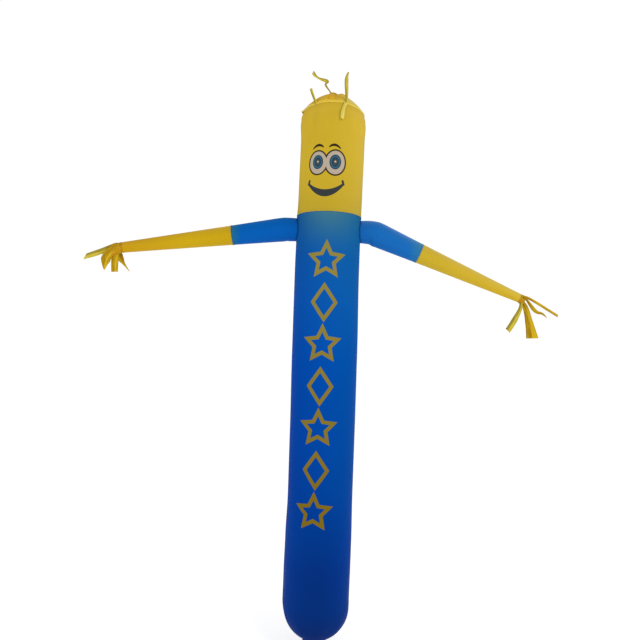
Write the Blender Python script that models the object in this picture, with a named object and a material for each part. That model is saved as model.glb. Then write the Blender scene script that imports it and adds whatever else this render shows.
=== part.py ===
"""Inflatable air dancer: a cloth tube with a head, two sleeves and cut ribbons, standing on its base hem.

Metres, +Z up. The tube's axis is Z, the front faces -Y, and the origin is the centre of the base hem.
Every panel is a sheet of cloth sewn into a tube, so it is a closed shell that is open inside.
"""

from collections import namedtuple
from math import asin, cos, exp, pi, radians, sin, sqrt

import bmesh
import bpy
from mathutils import Vector

# Driving dimensions
TUBE_RADIUS = 0.175
CLOTH = 0.002
HEM = 0.001  # how far a folded hem or a felled seam stands out of its cloth
SEAM_GAP = 0.0003  # between two panels, so that each stays its own solid
ROOT_GAP = 0.0005  # between a sleeve and the body, which is round there

COLLAR_RADIUS = 0.063  # the narrow sleeve at the foot, through which the tube is blown up
COLLAR_HEM = 0.025
BOWL_TOP = 0.285
BOWL_HEIGHT = 0.211  # semi-height of the rounded lower end, along which the tube draws in to the collar
BOWL_FULLNESS = 2.25  # 2 would be an ellipse
BOWL_DROPS = (0.22, 0.42, 0.60, 0.74, 0.84, 0.91, 0.9562)  # rings, as shares of its height

SHOULDER_HEIGHT = 2.262  # of the sleeves' axes
NECK_HEIGHT = 2.334
CROWN_HEIGHT = 2.896
NECK_HEM = 0.007
NECK_TILT = 0.010  # the neck seam is this much higher in front, and as much lower behind, than at its sides
NECK_TILT_REACH = 0.070
CROWN_LIFT = 0.005  # of the crown's seam in front and behind
CROWN_DROOP = 0.020  # from there down to its sides
CROWN_LEAN = 0.005  # by which its right side is lower than its middle height, and its left side higher
DROOP_START = 2.740  # the height from which the head's cloth follows the crown's seam
BAND_HEIGHT = 0.011  # of each strip that ribbons are cut from or sewn to
CAP_RISE = 0.084
CAP_SHARES = (1.0, 0.94, 0.86, 0.74, 0.58, 0.40, 0.20)  # rings, as shares of its radius
TIE_OFFSET = -0.013  # of the gathered middle of the crown, along X
TIE_HEIGHT = 0.016

SLEEVE_BEND_LENGTH = 0.118  # a sleeve leaves the body level, and has its full droop after this much of it

TUBE_SEGMENTS = 48
SLEEVE_SEGMENTS = 24
RIBBON_SECTIONS = 16
RIBBON_SET = 0.22  # the share of a ribbon along which it turns from its root's lie into its own

BLUE = (0.012, 0.105, 0.420)
YELLOW = (0.640, 0.430, 0.030)
CLOTH_ROUGHNESS = 0.55

Waist = namedtuple("Waist", "height radius drift")
Dimple = namedtuple("Dimple", "turn height round_reach height_reach depth")
Girth = namedtuple("Girth", "distance radius")
Sleeve = namedtuple("Sleeve", "side droop crease girths")
Ribbon = namedtuple("Ribbon", "turn toward pitches length widths rolls")

# How the blown tube swells, narrows and drifts along X from the foot to the crown.
WAISTS = (
    Waist(0.040, 0.1790, 0.0000),
    Waist(0.160, 0.1790, 0.0040),
    Waist(BOWL_TOP, 0.1790, 0.0015),
    Waist(0.430, 0.1795, 0.0020),
    Waist(0.620, 0.1780, 0.0035),
    Waist(0.840, 0.1738, 0.0050),
    Waist(1.200, 0.1745, 0.0045),
    Waist(1.600, 0.1755, 0.0020),
    Waist(2.050, 0.1728, -0.0012),
    Waist(2.300, 0.1714, 0.0000),
    Waist(2.460, 0.1710, 0.0030),
    Waist(2.740, 0.1712, 0.0055),
    Waist(2.822, 0.1745, 0.0050),
    Waist(2.866, 0.1712, 0.0050),
    Waist(CROWN_HEIGHT, 0.1640, 0.0050),
)

# Soft hollows in the cloth, at turns in degrees from +X towards +Y, so -90 is the front.
DIMPLES = (
    Dimple(-28, 2.150, 12, 0.075, 0.0040),
    Dimple(-150, 2.165, 11, 0.060, 0.0045),
    Dimple(24, 2.140, 12, 0.090, 0.0035),
    Dimple(158, 2.155, 13, 0.070, 0.0040),
    Dimple(-70, 0.420, 9, 0.120, 0.0030),
    Dimple(-12, 0.360, 8, 0.100, 0.0040),
    Dimple(-168, 0.400, 8, 0.110, 0.0035),
    Dimple(80, 0.450, 11, 0.150, 0.0040),
    Dimple(-58, 2.810, 8, 0.060, 0.0045),
    Dimple(-128, 2.835, 9, 0.050, 0.0040),
    Dimple(64, 2.820, 10, 0.070, 0.0045),
)

# Each sleeve's girths go from its sewn end to its seam, on to the lower sleeve, and to its wrist.
SLEEVES = {
    "left": Sleeve(
        side=-1,
        droop=radians(8.4),
        crease=0.002,
        girths=(
            Girth(0.000, 0.0615),
            Girth(0.060, 0.0645),
            Girth(0.345, 0.0520),
            Girth(0.937, 0.0285),
        ),
    ),
    "right": Sleeve(
        side=1,
        droop=radians(22.0),
        crease=0.006,
        girths=(
            Girth(0.000, 0.0595),
            Girth(0.080, 0.0675),
            Girth(0.337, 0.0530),
            Girth(0.925, 0.0235),
        ),
    ),
}

# Ribbons: turn is the root's place round its band, toward the compass direction of the run, where 0 is +X
# and 270 the front. pitches give the rise of the run at even steps, and widths and rolls go from root to
# tip. Roll 90 stands on edge.
CROWN_RIBBONS = (
    Ribbon(234, 182, (72, 66, 70, 72), 0.085, (0.012, 0.012), (60, 92)),
    Ribbon(291.5, 10, (88, 92, 94, 90, 64), 0.164, (0.011, 0.017, 0.012), (70, 92)),
    Ribbon(290, 222, (-46, -62, -76, -82, -80), 0.100, (0.016, 0.019), (90, 78)),
)
TIE_RIBBON = Ribbon(
    180, 178, (62, 56, 56, 66, 26, 24, 30, 52), 0.160, (0.009, 0.010, 0.020, 0.015), (58, 96)
)
HAND_RIBBONS = {
    "left": (
        Ribbon(146, 181, (-12, -20, -21, -21), 0.187, (0.020, 0.028, 0.026, 0.010), (50, 86)),
        Ribbon(186, 190, (-18, -42, -74, -96), 0.156, (0.020, 0.036, 0.006), (62, 80)),
        Ribbon(230, 184, (-30, -76, -92, -92), 0.124, (0.020, 0.025), (60, 88)),
        Ribbon(320, 170, (-60, -112, -122, -120), 0.120, (0.020, 0.020, 0.006), (60, 84)),
    ),
    "right": (
        Ribbon(85, 359, (-24, -31, -33, -30), 0.235, (0.013, 0.013), (40, 58)),
        Ribbon(30, 6, (-28, -46, -42, -30), 0.185, (0.012, 0.024, 0.008), (50, 72)),
        Ribbon(236, 344, (-60, -112, -116, -120), 0.174, (0.014, 0.028), (60, 86)),
        Ribbon(330, 2, (-24, -68, -78, -76, -76), 0.219, (0.016, 0.066), (50, 88)),
    ),
}


# Shapes
def smooth(share):
    share = min(1.0, max(0.0, share))
    return share * share * (3 - 2 * share)


def uneven(angle, folds):
    """A wave of about that many folds round the tube, no two alike, from -1 to 1."""
    return 0.55 * cos(folds * angle + 0.4) + 0.45 * cos((folds - 3) * angle + 2.1)


def waist_at(height):
    """The tube's mean radius and its drift along X at a height."""
    for low, high in zip(WAISTS, WAISTS[1:]):
        if height <= high.height:
            share = smooth((height - low.height) / (high.height - low.height))
            radius = low.radius + (high.radius - low.radius) * share
            return radius, low.drift + (high.drift - low.drift) * share
    return WAISTS[-1].radius, WAISTS[-1].drift


def bowl_radius(height):
    """The lower end, drawn in along a full curve and then straight down as the collar."""
    drop = min((BOWL_TOP - height) / BOWL_HEIGHT, 0.99)
    drawn_in = (1 - drop**BOWL_FULLNESS) ** (1 / BOWL_FULLNESS)
    return max(COLLAR_RADIUS, waist_at(height)[0] * drawn_in)


def dimples_at(angle, height):
    depth = 0.0
    for row in DIMPLES:
        round_off = (angle - radians(row.turn) + pi) % (2 * pi) - pi
        across = round_off / radians(row.round_reach)
        along = (height - row.height) / row.height_reach
        depth += row.depth * exp(-across * across - along * along)
    return depth


def tube_radius(angle, height):
    """The cloth's outer radius anywhere on the body or the head, with its gathers and hollows."""
    if height < BOWL_TOP:
        share = (BOWL_TOP - height) / (BOWL_DROPS[-1] * BOWL_HEIGHT)
        gather = 0.0050 * sin(pi * smooth(share)) * uneven(angle, 9)
        return bowl_radius(height) + gather
    pucker = 0.0030 * exp(-(((CROWN_HEIGHT - height) / 0.055) ** 2)) * uneven(angle, 10)
    neck = 0.0012 * exp(-(((NECK_HEIGHT - height) / 0.030) ** 2)) * uneven(angle, 8)
    return waist_at(height)[0] + pucker + neck - dimples_at(angle, height)


def angles(segments):
    return [2 * pi * step / segments for step in range(segments)]


def seam_shift(angle, height):
    """How far the cloth near the neck and the crown is shifted along Z, because its seams aren't level."""
    tilt = -NECK_TILT * sin(angle) * exp(-(((NECK_HEIGHT - height) / NECK_TILT_REACH) ** 2))
    arch = CROWN_LIFT - (CROWN_DROOP + CROWN_LEAN * cos(angle)) * cos(angle) ** 2
    return tilt + arch * smooth((height - DROOP_START) / (CROWN_HEIGHT - DROOP_START))


def level_ring(height, radius_at, shift_share=1.0):
    """Points round the tube's middle at one height; radius_at gives the radius for an angle."""
    ring, drift = [], waist_at(height)[1]
    for angle in angles(TUBE_SEGMENTS):
        radius = radius_at(angle)
        z = height + seam_shift(angle, height) * shift_share
        ring.append(Vector((drift + radius * cos(angle), radius * sin(angle), z)))
    return ring


def spread(low, high, steps):
    return [low + (high - low) * step / steps for step in range(steps + 1)]


# Meshes
def cloth_material(name, colour):
    material = bpy.data.materials.new(name)
    material.use_nodes = True
    shader = material.node_tree.nodes["Principled BSDF"]
    shader.inputs["Base Color"].default_value = (*colour, 1.0)
    shader.inputs["Roughness"].default_value = CLOTH_ROUGHNESS
    shader.inputs["Metallic"].default_value = 0.0
    material.diffuse_color = (*colour, 1.0)
    return material


def finished(name, bm, material):
    """Makes the object of a closed mesh, with its faces pointing out."""
    bmesh.ops.recalc_face_normals(bm, faces=bm.faces)
    mesh = bpy.data.meshes.new(name)
    bm.to_mesh(mesh)
    bm.free()
    mesh.shade_smooth()
    mesh.set_sharp_from_angle(angle=radians(40))
    obj = bpy.data.objects.new(name, mesh)
    if material:
        mesh.materials.append(material)
    bpy.context.scene.collection.objects.link(obj)
    return obj


def shell(name, outer, inner, material, tips=None):
    """A cloth tube between rings of outer points and rings of inner points.

    Both ends are open, unless tips gives the outer and the inner point on which the last rings close.
    """
    bm = bmesh.new()
    outside = [[bm.verts.new(point) for point in ring] for ring in outer]
    inside = [[bm.verts.new(point) for point in ring] for ring in inner]
    count = len(outer[0])
    bands = [*zip(outside, outside[1:]), *zip(inside, inside[1:]), (outside[0], inside[0])]
    if tips:
        for last, tip in zip((outside[-1], inside[-1]), tips):
            middle = bm.verts.new(tip)
            for here in range(count):
                bm.faces.new((last[here], last[(here + 1) % count], middle))
    else:
        bands.append((outside[-1], inside[-1]))
    for first, second in bands:
        for here in range(count):
            there = (here + 1) % count
            bm.faces.new((first[here], first[there], second[there], second[here]))
    return finished(name, bm, material)


def strip_mesh(bm, points, sides, normals, widths):
    """Adds a closed flat strip of cloth along the points, four corners to a section."""
    loops = []
    for point, side, normal, width in zip(points, sides, normals, widths):
        across, through = side * width / 2, normal * CLOTH / 2
        corners = (across + through, through - across, -across - through, across - through)
        loops.append([bm.verts.new(point + corner) for corner in corners])
    for first, second in zip(loops, loops[1:]):
        for here in range(4):
            there = (here + 1) % 4
            # Both broad sides are split along the same diagonal, so that a twist never makes them cross.
            low, high = (here, there) if here < 2 else (there, here)
            bm.faces.new((first[low], second[high], second[low]))
            bm.faces.new((first[low], first[high], second[high]))
    bm.faces.new(loops[0])
    bm.faces.new(loops[-1])


def at_share(values, share):
    """Reads a row of evenly spaced values at a share of its length."""
    place = share * (len(values) - 1)
    low = min(int(place), len(values) - 2)
    return values[low] + (values[low + 1] - values[low]) * (place - low)


def ribbon(name, root, root_run, root_side, row):
    """One cut ribbon, which turns from its root's lie into its own. Its pitch, width and roll change."""
    points, sides, normals, widths = [], [], [], []
    level = Vector((cos(radians(row.toward)), sin(radians(row.toward)), 0))
    beside = Vector((-level.y, level.x, 0))
    point = root.copy()
    last_side = root_side
    for step in range(RIBBON_SECTIONS + 1):
        share = step / RIBBON_SECTIONS
        pitch, roll = radians(at_share(row.pitches, share)), radians(at_share(row.rolls, share))
        own_run = level * cos(pitch) + Vector((0, 0, sin(pitch)))
        own_side = beside * cos(roll) + own_run.cross(beside) * sin(roll)
        if own_side.dot(last_side) < 0:
            own_side = -own_side
        turned = smooth(share / RIBBON_SET)
        run = root_run.lerp(own_run, turned).normalized()
        side = root_side.lerp(own_side, turned)
        side = (side - run * side.dot(run)).normalized()
        last_side = side
        if step:
            point = point + run * row.length / RIBBON_SECTIONS
        points.append(point)
        sides.append(side)
        normals.append(run.cross(side))
        widths.append(at_share(row.widths, share))
    bm = bmesh.new()
    strip_mesh(bm, points, sides, normals, widths)
    return finished(name, bm, None)


def joined_in(target, tool, operation):
    """Joins or cuts with a helper that a render leaves out."""
    tool.hide_render = True
    tool.display_type = "WIRE"
    modifier = target.modifiers.new(tool.name, "BOOLEAN")
    modifier.operation = operation
    modifier.solver = "EXACT"
    modifier.object = tool


# Panels
def tube_panel(name, heights, material, hems):
    """A length of the big tube. hems are (low, high) stretches that stand out as folded cloth."""
    outer, inner = [], []
    for height in heights:
        proud = HEM if any(low <= height <= high for low, high in hems) else 0.0
        outer.append(level_ring(height, lambda angle: tube_radius(angle, height) + proud))
        inner.append(level_ring(height, lambda angle: tube_radius(angle, height) - CLOTH))
    return shell(name, outer, inner, material)


def body_tube(material):
    neck = NECK_HEIGHT - SEAM_GAP / 2
    heights = [0.0, COLLAR_HEM, COLLAR_HEM + 0.002]
    heights += [BOWL_TOP - drop * BOWL_HEIGHT for drop in reversed(BOWL_DROPS)]
    heights += spread(BOWL_TOP, 0.62, 3)
    heights += spread(0.62, 2.05, 7)[1:]
    heights += [2.12, 2.19, 2.27, NECK_HEIGHT - NECK_HEM - 0.002, NECK_HEIGHT - NECK_HEM, neck]
    body = tube_panel(
        "body_tube", heights, material, [(0.0, COLLAR_HEM), (NECK_HEIGHT - NECK_HEM, neck)]
    )
    for side, sleeve in SLEEVES.items():
        radius = sleeve.girths[0].radius - CLOTH
        bm = bmesh.new()
        bmesh.ops.create_cone(
            bm, cap_ends=True, segments=SLEEVE_SEGMENTS, radius1=radius, radius2=radius, depth=TUBE_RADIUS
        )
        armhole = finished(f"armhole_{side}", bm, None)
        armhole.rotation_euler = (0, pi / 2, 0)
        armhole.location = (sleeve.side * TUBE_RADIUS, 0, SHOULDER_HEIGHT)
        joined_in(body, armhole, "DIFFERENCE")
    return body


def head_tube(material):
    neck, crown = NECK_HEIGHT + SEAM_GAP / 2, CROWN_HEIGHT - SEAM_GAP / 2
    heights = [neck, NECK_HEIGHT + NECK_HEM, NECK_HEIGHT + NECK_HEM + 0.002, 2.40, 2.52, 2.65]
    heights += [2.74, 2.79, 2.824, 2.85, 2.873, crown]
    return tube_panel("head_tube", heights, material, [(neck, NECK_HEIGHT + NECK_HEM)])


def crown_cap(material):
    """The round top panel. Blown up, it domes, and it is puckered near its rim."""
    foot = CROWN_HEIGHT + BAND_HEIGHT + SEAM_GAP / 2
    outer, inner = [], []
    for share in CAP_SHARES:
        rise, pinch = CAP_RISE * (1 - share * share), 0.0045 * sin(pi * min(1.0, (1 - share) * 2.4))
        for rings, cloth in ((outer, 0.0), (inner, CLOTH)):

            def radius(angle, share=share, cloth=cloth, pinch=pinch):
                edge = tube_radius(angle, CROWN_HEIGHT) * share
                return edge + pinch * uneven(angle, 11) - cloth * share

            rings.append(level_ring(foot + rise - cloth * (1 - share), radius, share**2))
    tips = [Vector((WAISTS[-1].drift, 0, foot + CAP_RISE - cloth)) for cloth in (0, CLOTH)]
    return shell("crown_cap", outer, inner, material, tips)


def crown_fringe(material):
    """The taped seam between head and cap, with an ear of spare cloth at its left and ribbons sewn to it."""

    def radius(angle):
        ear = 0.010 * exp(-(((angle - radians(188)) / radians(8)) ** 2))
        return tube_radius(angle, CROWN_HEIGHT) + ear

    base = CROWN_HEIGHT + SEAM_GAP / 2
    outer, inner = [], []
    for height in (base, base + BAND_HEIGHT - SEAM_GAP):
        outer.append(level_ring(height, lambda angle: radius(angle) + HEM))
        inner.append(level_ring(height, lambda angle: radius(angle) - CLOTH))
    fringe = shell("crown_fringe", outer, inner, material)
    for number, row in enumerate(CROWN_RIBBONS, 1):
        angle = radians(row.turn)
        out, beside = Vector((cos(angle), sin(angle), 0)), Vector((-sin(angle), cos(angle), 0))
        upward = 1 if row.pitches[0] > 0 else -1
        root = out * (tube_radius(angle, CROWN_HEIGHT) + HEM + CLOTH / 4)
        root.x += WAISTS[-1].drift
        root.z = base + BAND_HEIGHT / 2 - upward * BAND_HEIGHT / 4 + seam_shift(angle, CROWN_HEIGHT)
        lean = Vector((0, 0, upward)) + out * (0.08 if upward > 0 else 0.80)
        joined_in(fringe, ribbon(f"crown_ribbon_{number}", root, lean, beside, row), "UNION")
    return fringe


def crown_tie(material):
    """The gathered middle of the cap, a small cone of cloth, with the long ribbon that ties it."""
    foot = CROWN_HEIGHT + BAND_HEIGHT + CAP_RISE + SEAM_GAP * 1.5
    bm = bmesh.new()
    bmesh.ops.create_cone(bm, cap_ends=True, segments=12, radius1=0.016, radius2=0.006, depth=TIE_HEIGHT)
    bmesh.ops.translate(bm, verts=bm.verts, vec=(TIE_OFFSET, 0, foot + TIE_HEIGHT / 2))
    tie = finished("crown_tie", bm, material)
    root = Vector((TIE_OFFSET, 0, foot + TIE_HEIGHT * 0.6))
    run, side = Vector((-0.35, 0, 1)).normalized(), Vector((0, 1, 0))
    joined_in(tie, ribbon("crown_tie_ribbon", root, run, side, TIE_RIBBON), "UNION")
    return tie


# Sleeves
def sleeve_point(sleeve, distance):
    """Where a sleeve's axis is at a distance from the tube, and its direction there."""
    steps = 40
    point = Vector((sleeve.side * TUBE_RADIUS, 0, SHOULDER_HEIGHT))
    direction = Vector((sleeve.side, 0, 0))
    for step in range(steps):
        middle = distance * (step + 0.5) / steps
        droop = sleeve.droop * smooth(middle / SLEEVE_BEND_LENGTH)
        direction = Vector((sleeve.side * cos(droop), 0, -sin(droop)))
        point = point + direction * distance / steps
    return point, direction


def sleeve_radius(sleeve, distance):
    for low, high in zip(sleeve.girths, sleeve.girths[1:]):
        if distance <= high.distance:
            share = (distance - low.distance) / (high.distance - low.distance)
            return low.radius + (high.radius - low.radius) * share
    return sleeve.girths[-1].radius


def sleeve_ring(sleeve, distance, inset):
    """A ring square to the sleeve's axis. The crease is on its underside, where the sleeve bends."""
    centre, direction = sleeve_point(sleeve, distance)
    across = Vector((0, 1, 0))
    upward = across.cross(direction) * -sleeve.side
    upward = upward if upward.z > 0 else -upward
    ring = []
    for angle in angles(SLEEVE_SEGMENTS):
        bend = exp(-(((distance - 0.45 * SLEEVE_BEND_LENGTH) / 0.020) ** 2))
        under = max(0.0, -sin(angle)) ** 2
        radius = sleeve_radius(sleeve, distance) - inset - sleeve.crease * bend * under
        ring.append(centre + (across * cos(angle) + upward * sin(angle)) * radius)
    return ring


def root_ring(sleeve, inset):
    """The sewn end: a level ring pushed along X until it lies against the body's curved cloth."""
    ring = []
    radius = sleeve.girths[0].radius - inset
    for angle in angles(SLEEVE_SEGMENTS):
        across, height = radius * cos(angle), SHOULDER_HEIGHT + radius * sin(angle)
        turn = asin(across / TUBE_RADIUS)
        wall = tube_radius(turn if sleeve.side > 0 else pi - turn, height) + ROOT_GAP
        reach = sleeve.side * sqrt(wall * wall - across * across)
        ring.append(Vector((waist_at(height)[1] + reach, across, height)))
    return ring


def sleeve_panel(name, sleeve, distances, material, starts_at_body):
    outer = [sleeve_ring(sleeve, distance, 0.0) for distance in distances]
    inner = [sleeve_ring(sleeve, distance, CLOTH) for distance in distances]
    if starts_at_body:
        outer.insert(0, root_ring(sleeve, 0.0))
        inner.insert(0, root_ring(sleeve, CLOTH))
    return shell(name, outer, inner, material)


def hand_fringe(name, sleeve, ribbons, material):
    """The end of the sleeve, parted from it as a narrow ring, with the strips that are cut from it."""
    start = sleeve.girths[-1].distance + SEAM_GAP
    end = start + BAND_HEIGHT
    fringe = sleeve_panel(name, sleeve, (start, end), material, False)
    centre, direction = sleeve_point(sleeve, end - BAND_HEIGHT / 3)
    across = Vector((0, 1, 0))
    upward = direction.cross(across)
    upward = upward if upward.z > 0 else -upward
    for number, row in enumerate(ribbons, 1):
        turn = radians(row.turn)
        out, beside = across * cos(turn) + upward * sin(turn), upward * cos(turn) - across * sin(turn)
        root = centre + out * (sleeve.girths[-1].radius - CLOTH / 2)
        joined_in(fringe, ribbon(f"{name}_ribbon_{number}", root, direction, beside, row), "UNION")
    return fringe


def clear_scene():
    for obj in list(bpy.data.objects):
        bpy.data.objects.remove(obj)


def main():
    clear_scene()
    blue = cloth_material("blue_cloth", BLUE)
    yellow = cloth_material("yellow_cloth", YELLOW)
    body_tube(blue)
    head_tube(yellow)
    crown_fringe(yellow)
    crown_cap(yellow)
    crown_tie(yellow)
    for side, sleeve in SLEEVES.items():
        seam, wrist = sleeve.girths[-2].distance, sleeve.girths[-1].distance
        upper = (0.022, 0.040, 0.056, 0.075, 0.105, 0.150, 0.240, seam - SEAM_GAP / 2)
        lower = spread(seam + SEAM_GAP / 2, wrist, 4)
        sleeve_panel(f"upper_sleeve_{side}", sleeve, upper, blue, True)
        sleeve_panel(f"lower_sleeve_{side}", sleeve, lower, yellow, False)
        hand_fringe(f"hand_fringe_{side}", sleeve, HAND_RIBBONS[side], yellow)


main()
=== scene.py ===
from collections import namedtuple
from math import asin, atan2, cos, exp, hypot, inf, pi, radians, sin, sqrt
from types import SimpleNamespace

import bmesh
import bpy
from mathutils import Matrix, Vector


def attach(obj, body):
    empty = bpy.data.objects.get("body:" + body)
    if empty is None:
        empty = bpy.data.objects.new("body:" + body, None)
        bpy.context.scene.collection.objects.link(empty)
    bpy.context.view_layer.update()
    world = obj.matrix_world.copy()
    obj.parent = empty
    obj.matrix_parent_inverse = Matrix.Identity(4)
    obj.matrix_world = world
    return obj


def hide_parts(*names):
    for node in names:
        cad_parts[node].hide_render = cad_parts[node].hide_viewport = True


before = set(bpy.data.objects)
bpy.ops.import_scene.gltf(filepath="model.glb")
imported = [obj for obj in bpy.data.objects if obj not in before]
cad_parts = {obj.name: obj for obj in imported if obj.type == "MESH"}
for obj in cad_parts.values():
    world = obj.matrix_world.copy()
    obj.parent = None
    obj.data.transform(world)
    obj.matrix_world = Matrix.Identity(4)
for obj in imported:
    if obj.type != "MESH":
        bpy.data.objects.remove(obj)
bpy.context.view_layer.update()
print("frame loaded with", len(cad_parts), "nodes")


# sums that every piece shares
def smooth(share):
    share = min(1.0, max(0.0, share))
    return share * share * (3 - 2 * share)


def wrapped(angle):
    return (angle + pi) % (2 * pi) - pi


def hump(value, reach):
    return exp(-((value / reach) ** 2))


waves = ((0.55, 0.4), (0.45, 2.1))  # strength and start of the two waves that make a ring uneven


def uneven(angle, folds):
    (strong, start), (weak, weakStart) = waves
    return strong * cos(folds * angle + start) + weak * cos((folds - 3) * angle + weakStart)


def evenTurns(count):
    return [2 * pi * k / count for k in range(count)]


def stations(start, *stretches):
    # places from the start on; a stretch is its step and the marks that it reaches
    places = [start]
    for step, *marks in stretches:
        for mark in marks:
            count = max(1, round((mark - start) / step))
            places += [start + (mark - start) * k / count for k in range(1, count + 1)]
            start = mark
    return places


def atShare(values, share):
    place = share * (len(values) - 1)
    low = min(int(place), len(values) - 2)
    return values[low] + (values[low + 1] - values[low]) * (place - low)


def foldDepth(across, along, lean, halfWidth, halfLength, depth):
    # a soft trough with a low ridge on either side, at a place beside the fold's middle
    lean = radians(lean)
    share = ((across * cos(lean) - along * sin(lean)) / halfWidth) ** 2
    if share > 10:
        return 0.0
    return depth * (1 - 0.7 * share) * exp(-share) * hump(along * cos(lean) + across * sin(lean), halfLength)


# one socket of a node tree: sums on it add Math nodes, and node() adds any other
class Wire:
    def __init__(self, tree, socket=None):
        self.tree, self.socket = tree, socket

    def node(self, kind, inputs=None, output=0, **settings):
        made = self.tree.nodes.new(kind)
        for name, value in settings.items():
            if name == "stops":
                ramp = made.color_ramp
                while len(ramp.elements) < len(value):
                    ramp.elements.new(0.5)
                for element, (place, colour) in zip(ramp.elements, value):
                    element.position, element.color = place, colour
            else:
                setattr(made, name, value)
        for name, value in (inputs or {}).items():
            if isinstance(value, Wire):
                self.tree.links.new(value.socket, made.inputs[name])
            else:
                made.inputs[name].default_value = value
        return Wire(self.tree, made.outputs[output] if made.outputs else None)

    def other(self, output):
        return Wire(self.tree, self.socket.node.outputs[output])

    def maths(self, operation, *others):
        return self.node("ShaderNodeMath", dict(enumerate((self, *others))), operation=operation)

    def __add__(self, other):
        return self.maths("ADD", other)

    def __sub__(self, other):
        return self.maths("SUBTRACT", other)

    def __mul__(self, other):
        return self.maths("MULTIPLY", other)

    def __truediv__(self, other):
        return self.maths("DIVIDE", other)

    __radd__, __rmul__ = __add__, __mul__

    def __rsub__(self, other):
        return self.node("ShaderNodeMath", {0: other, 1: self}, operation="SUBTRACT")

    def __abs__(self):
        return self.maths("ABSOLUTE")

    def __neg__(self):
        return self * -1.0

    def least(self, other):
        return self.maths("MINIMUM", other)

    def most(self, other):
        return self.maths("MAXIMUM", other)

    def clamped(self):
        self.socket.node.use_clamp = True
        return self

    def between(self, low, high):
        return ((self - low) / (high - low)).clamped()

    def near(self, reach):
        # 1 where this wire is 0, and 0 from reach on
        return (1 - self / reach).clamped()

    def hump(self, reach):
        return (self * self / -(reach**2)).maths("EXPONENT")

    def inked(self, edge):
        # the mask of what lies inside, above 0, with an edge a little soft
        return (self / edge + 0.5).clamped()

    def mixed(self, first, second):
        # first where this wire is 0, second where it is 1
        return self.node("ShaderNodeMix", {0: self, 6: first, 7: second}, 2, data_type="RGBA")

    def tinted(self, tint):
        return self.node("ShaderNodeVectorMath", {0: self, 1: tint}, operation="MULTIPLY")

    def scaled(self, amount):
        return self.node("ShaderNodeVectorMath", {0: self, "Scale": amount}, operation="SCALE")

    def joined(self, y, z):
        return self.node("ShaderNodeCombineXYZ", {"X": self, "Y": y, "Z": z})

    def parts(self):
        split = self.node("ShaderNodeSeparateXYZ", {0: self})
        return [split.other(k) for k in range(3)]

    def noise(self, scale, detail, rough=0.5, distortion=0.0):
        values = {"Scale": scale, "Detail": detail, "Roughness": rough, "Distortion": distortion}
        return self.node("ShaderNodeTexNoise", {"Vector": self} | values)


def reachOf(x, y):
    return (x * x + y * y).maths("SQRT")


def paint(red, green, blue):
    shades = [c / 255 / 12.92 if c < 11 else ((c / 255 + 0.055) / 1.055) ** 2.4 for c in (red, green, blue)]
    return (*shades, 1.0)


def rampOf(place, stops):
    # a stop is its place, then its red, green and blue
    low, high = stops[0][0], stops[-1][0]
    placed = [((at - low) / (high - low), paint(*shade)) for at, *shade in stops]
    return place.node("ShaderNodeValToRGB", {0: (place - low) / (high - low)}, stops=placed)


def emptied(owner):
    # clears the tree of a material or a world
    owner.use_nodes = True
    owner.node_tree.nodes.clear()
    return Wire(owner.node_tree)


def newMaterial(name, valuesOf):
    # valuesOf gets a wire to start from, and gives what goes into the shader
    material = bpy.data.materials.new(name)
    start = emptied(material)
    surface = start.node("ShaderNodeBsdfPrincipled", valuesOf(start))
    surface.node("ShaderNodeOutputMaterial", {"Surface": surface})
    return material


def bumped(height):
    return height.node("ShaderNodeBump", {"Strength": 1.0, "Distance": 1.0, "Height": height})


# the camera stands level with the chest, 3.5 m away, rolled by the tilt of the photograph
cameraSizes = {"place": (-0.0289, -3.5, 1.781), "roll": 2.06, "lens": 36.56, "sensor": 36.0, "far": 200}

cameraData = bpy.data.cameras.new("camera")
cameraData.lens = cameraSizes["lens"]
cameraData.sensor_width = cameraSizes["sensor"]
cameraData.clip_end = cameraSizes["far"]
camera = bpy.data.objects.new("camera", cameraData)
camera.location = cameraSizes["place"]
camera.rotation_euler = (pi / 2, -radians(cameraSizes["roll"]), 0)
bpy.context.scene.collection.objects.link(camera)
bpy.context.scene.camera = camera
bpy.context.scene.view_settings.view_transform = "Standard"

# the blown tube, shared by the body and the head
tube = {
    "collarRadius": 0.063,
    "collarHem": 0.025,
    "bowlTop": 0.285,
    "bowlHeight": 0.211,
    "bowlFullness": 2.25,
    "bowlDeepest": 0.9562,
    "bowlPucker": 0.0050,
    "bowlFolds": 9,
    "shoulder": 2.262,
    "neck": 2.334,
    "crown": 2.896,
    "neckHem": 0.007,
    "neckTilt": 0.007,
    "tiltReach": 0.070,
    "crownLift": 0.005,
    "crownDroop": 0.020,
    "crownLean": 0.005,
    "droopStart": 2.740,
    "hemProud": 0.001,
    "hemEdge": 0.0016,
    "seamGap": 0.0003,
    "sheet": 0.0014,
    "puckerHalf": 0.0085,
    "puckerSpan": 0.12,
    "backSeamHalf": 0.0058,
    "backSeamProud": 0.0009,
    "backSeamEdge": 0.0016,
    "backSeamColumns": (0.0028, 0.0058, 0.0070, 0.0086),
    "backSeamClear": 0.012,
}
spare = 1e-6  # metres that rounding may take
waists = (  # height, radius, drift along X
    (0.040, 0.1790, 0.0000),
    (0.160, 0.1790, 0.0040),
    (0.285, 0.1790, 0.0015),
    (0.430, 0.1795, 0.0020),
    (0.620, 0.1780, 0.0035),
    (0.840, 0.1738, 0.0050),
    (1.200, 0.1745, 0.0045),
    (1.600, 0.1755, 0.0020),
    (2.050, 0.1728, -0.0012),
    (2.300, 0.1714, 0.0000),
    (2.460, 0.1710, 0.0030),
    (2.740, 0.1712, 0.0055),
    (2.822, 0.1745, 0.0050),
    (2.866, 0.1712, 0.0050),
    (2.896, 0.1640, 0.0050),
)
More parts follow.
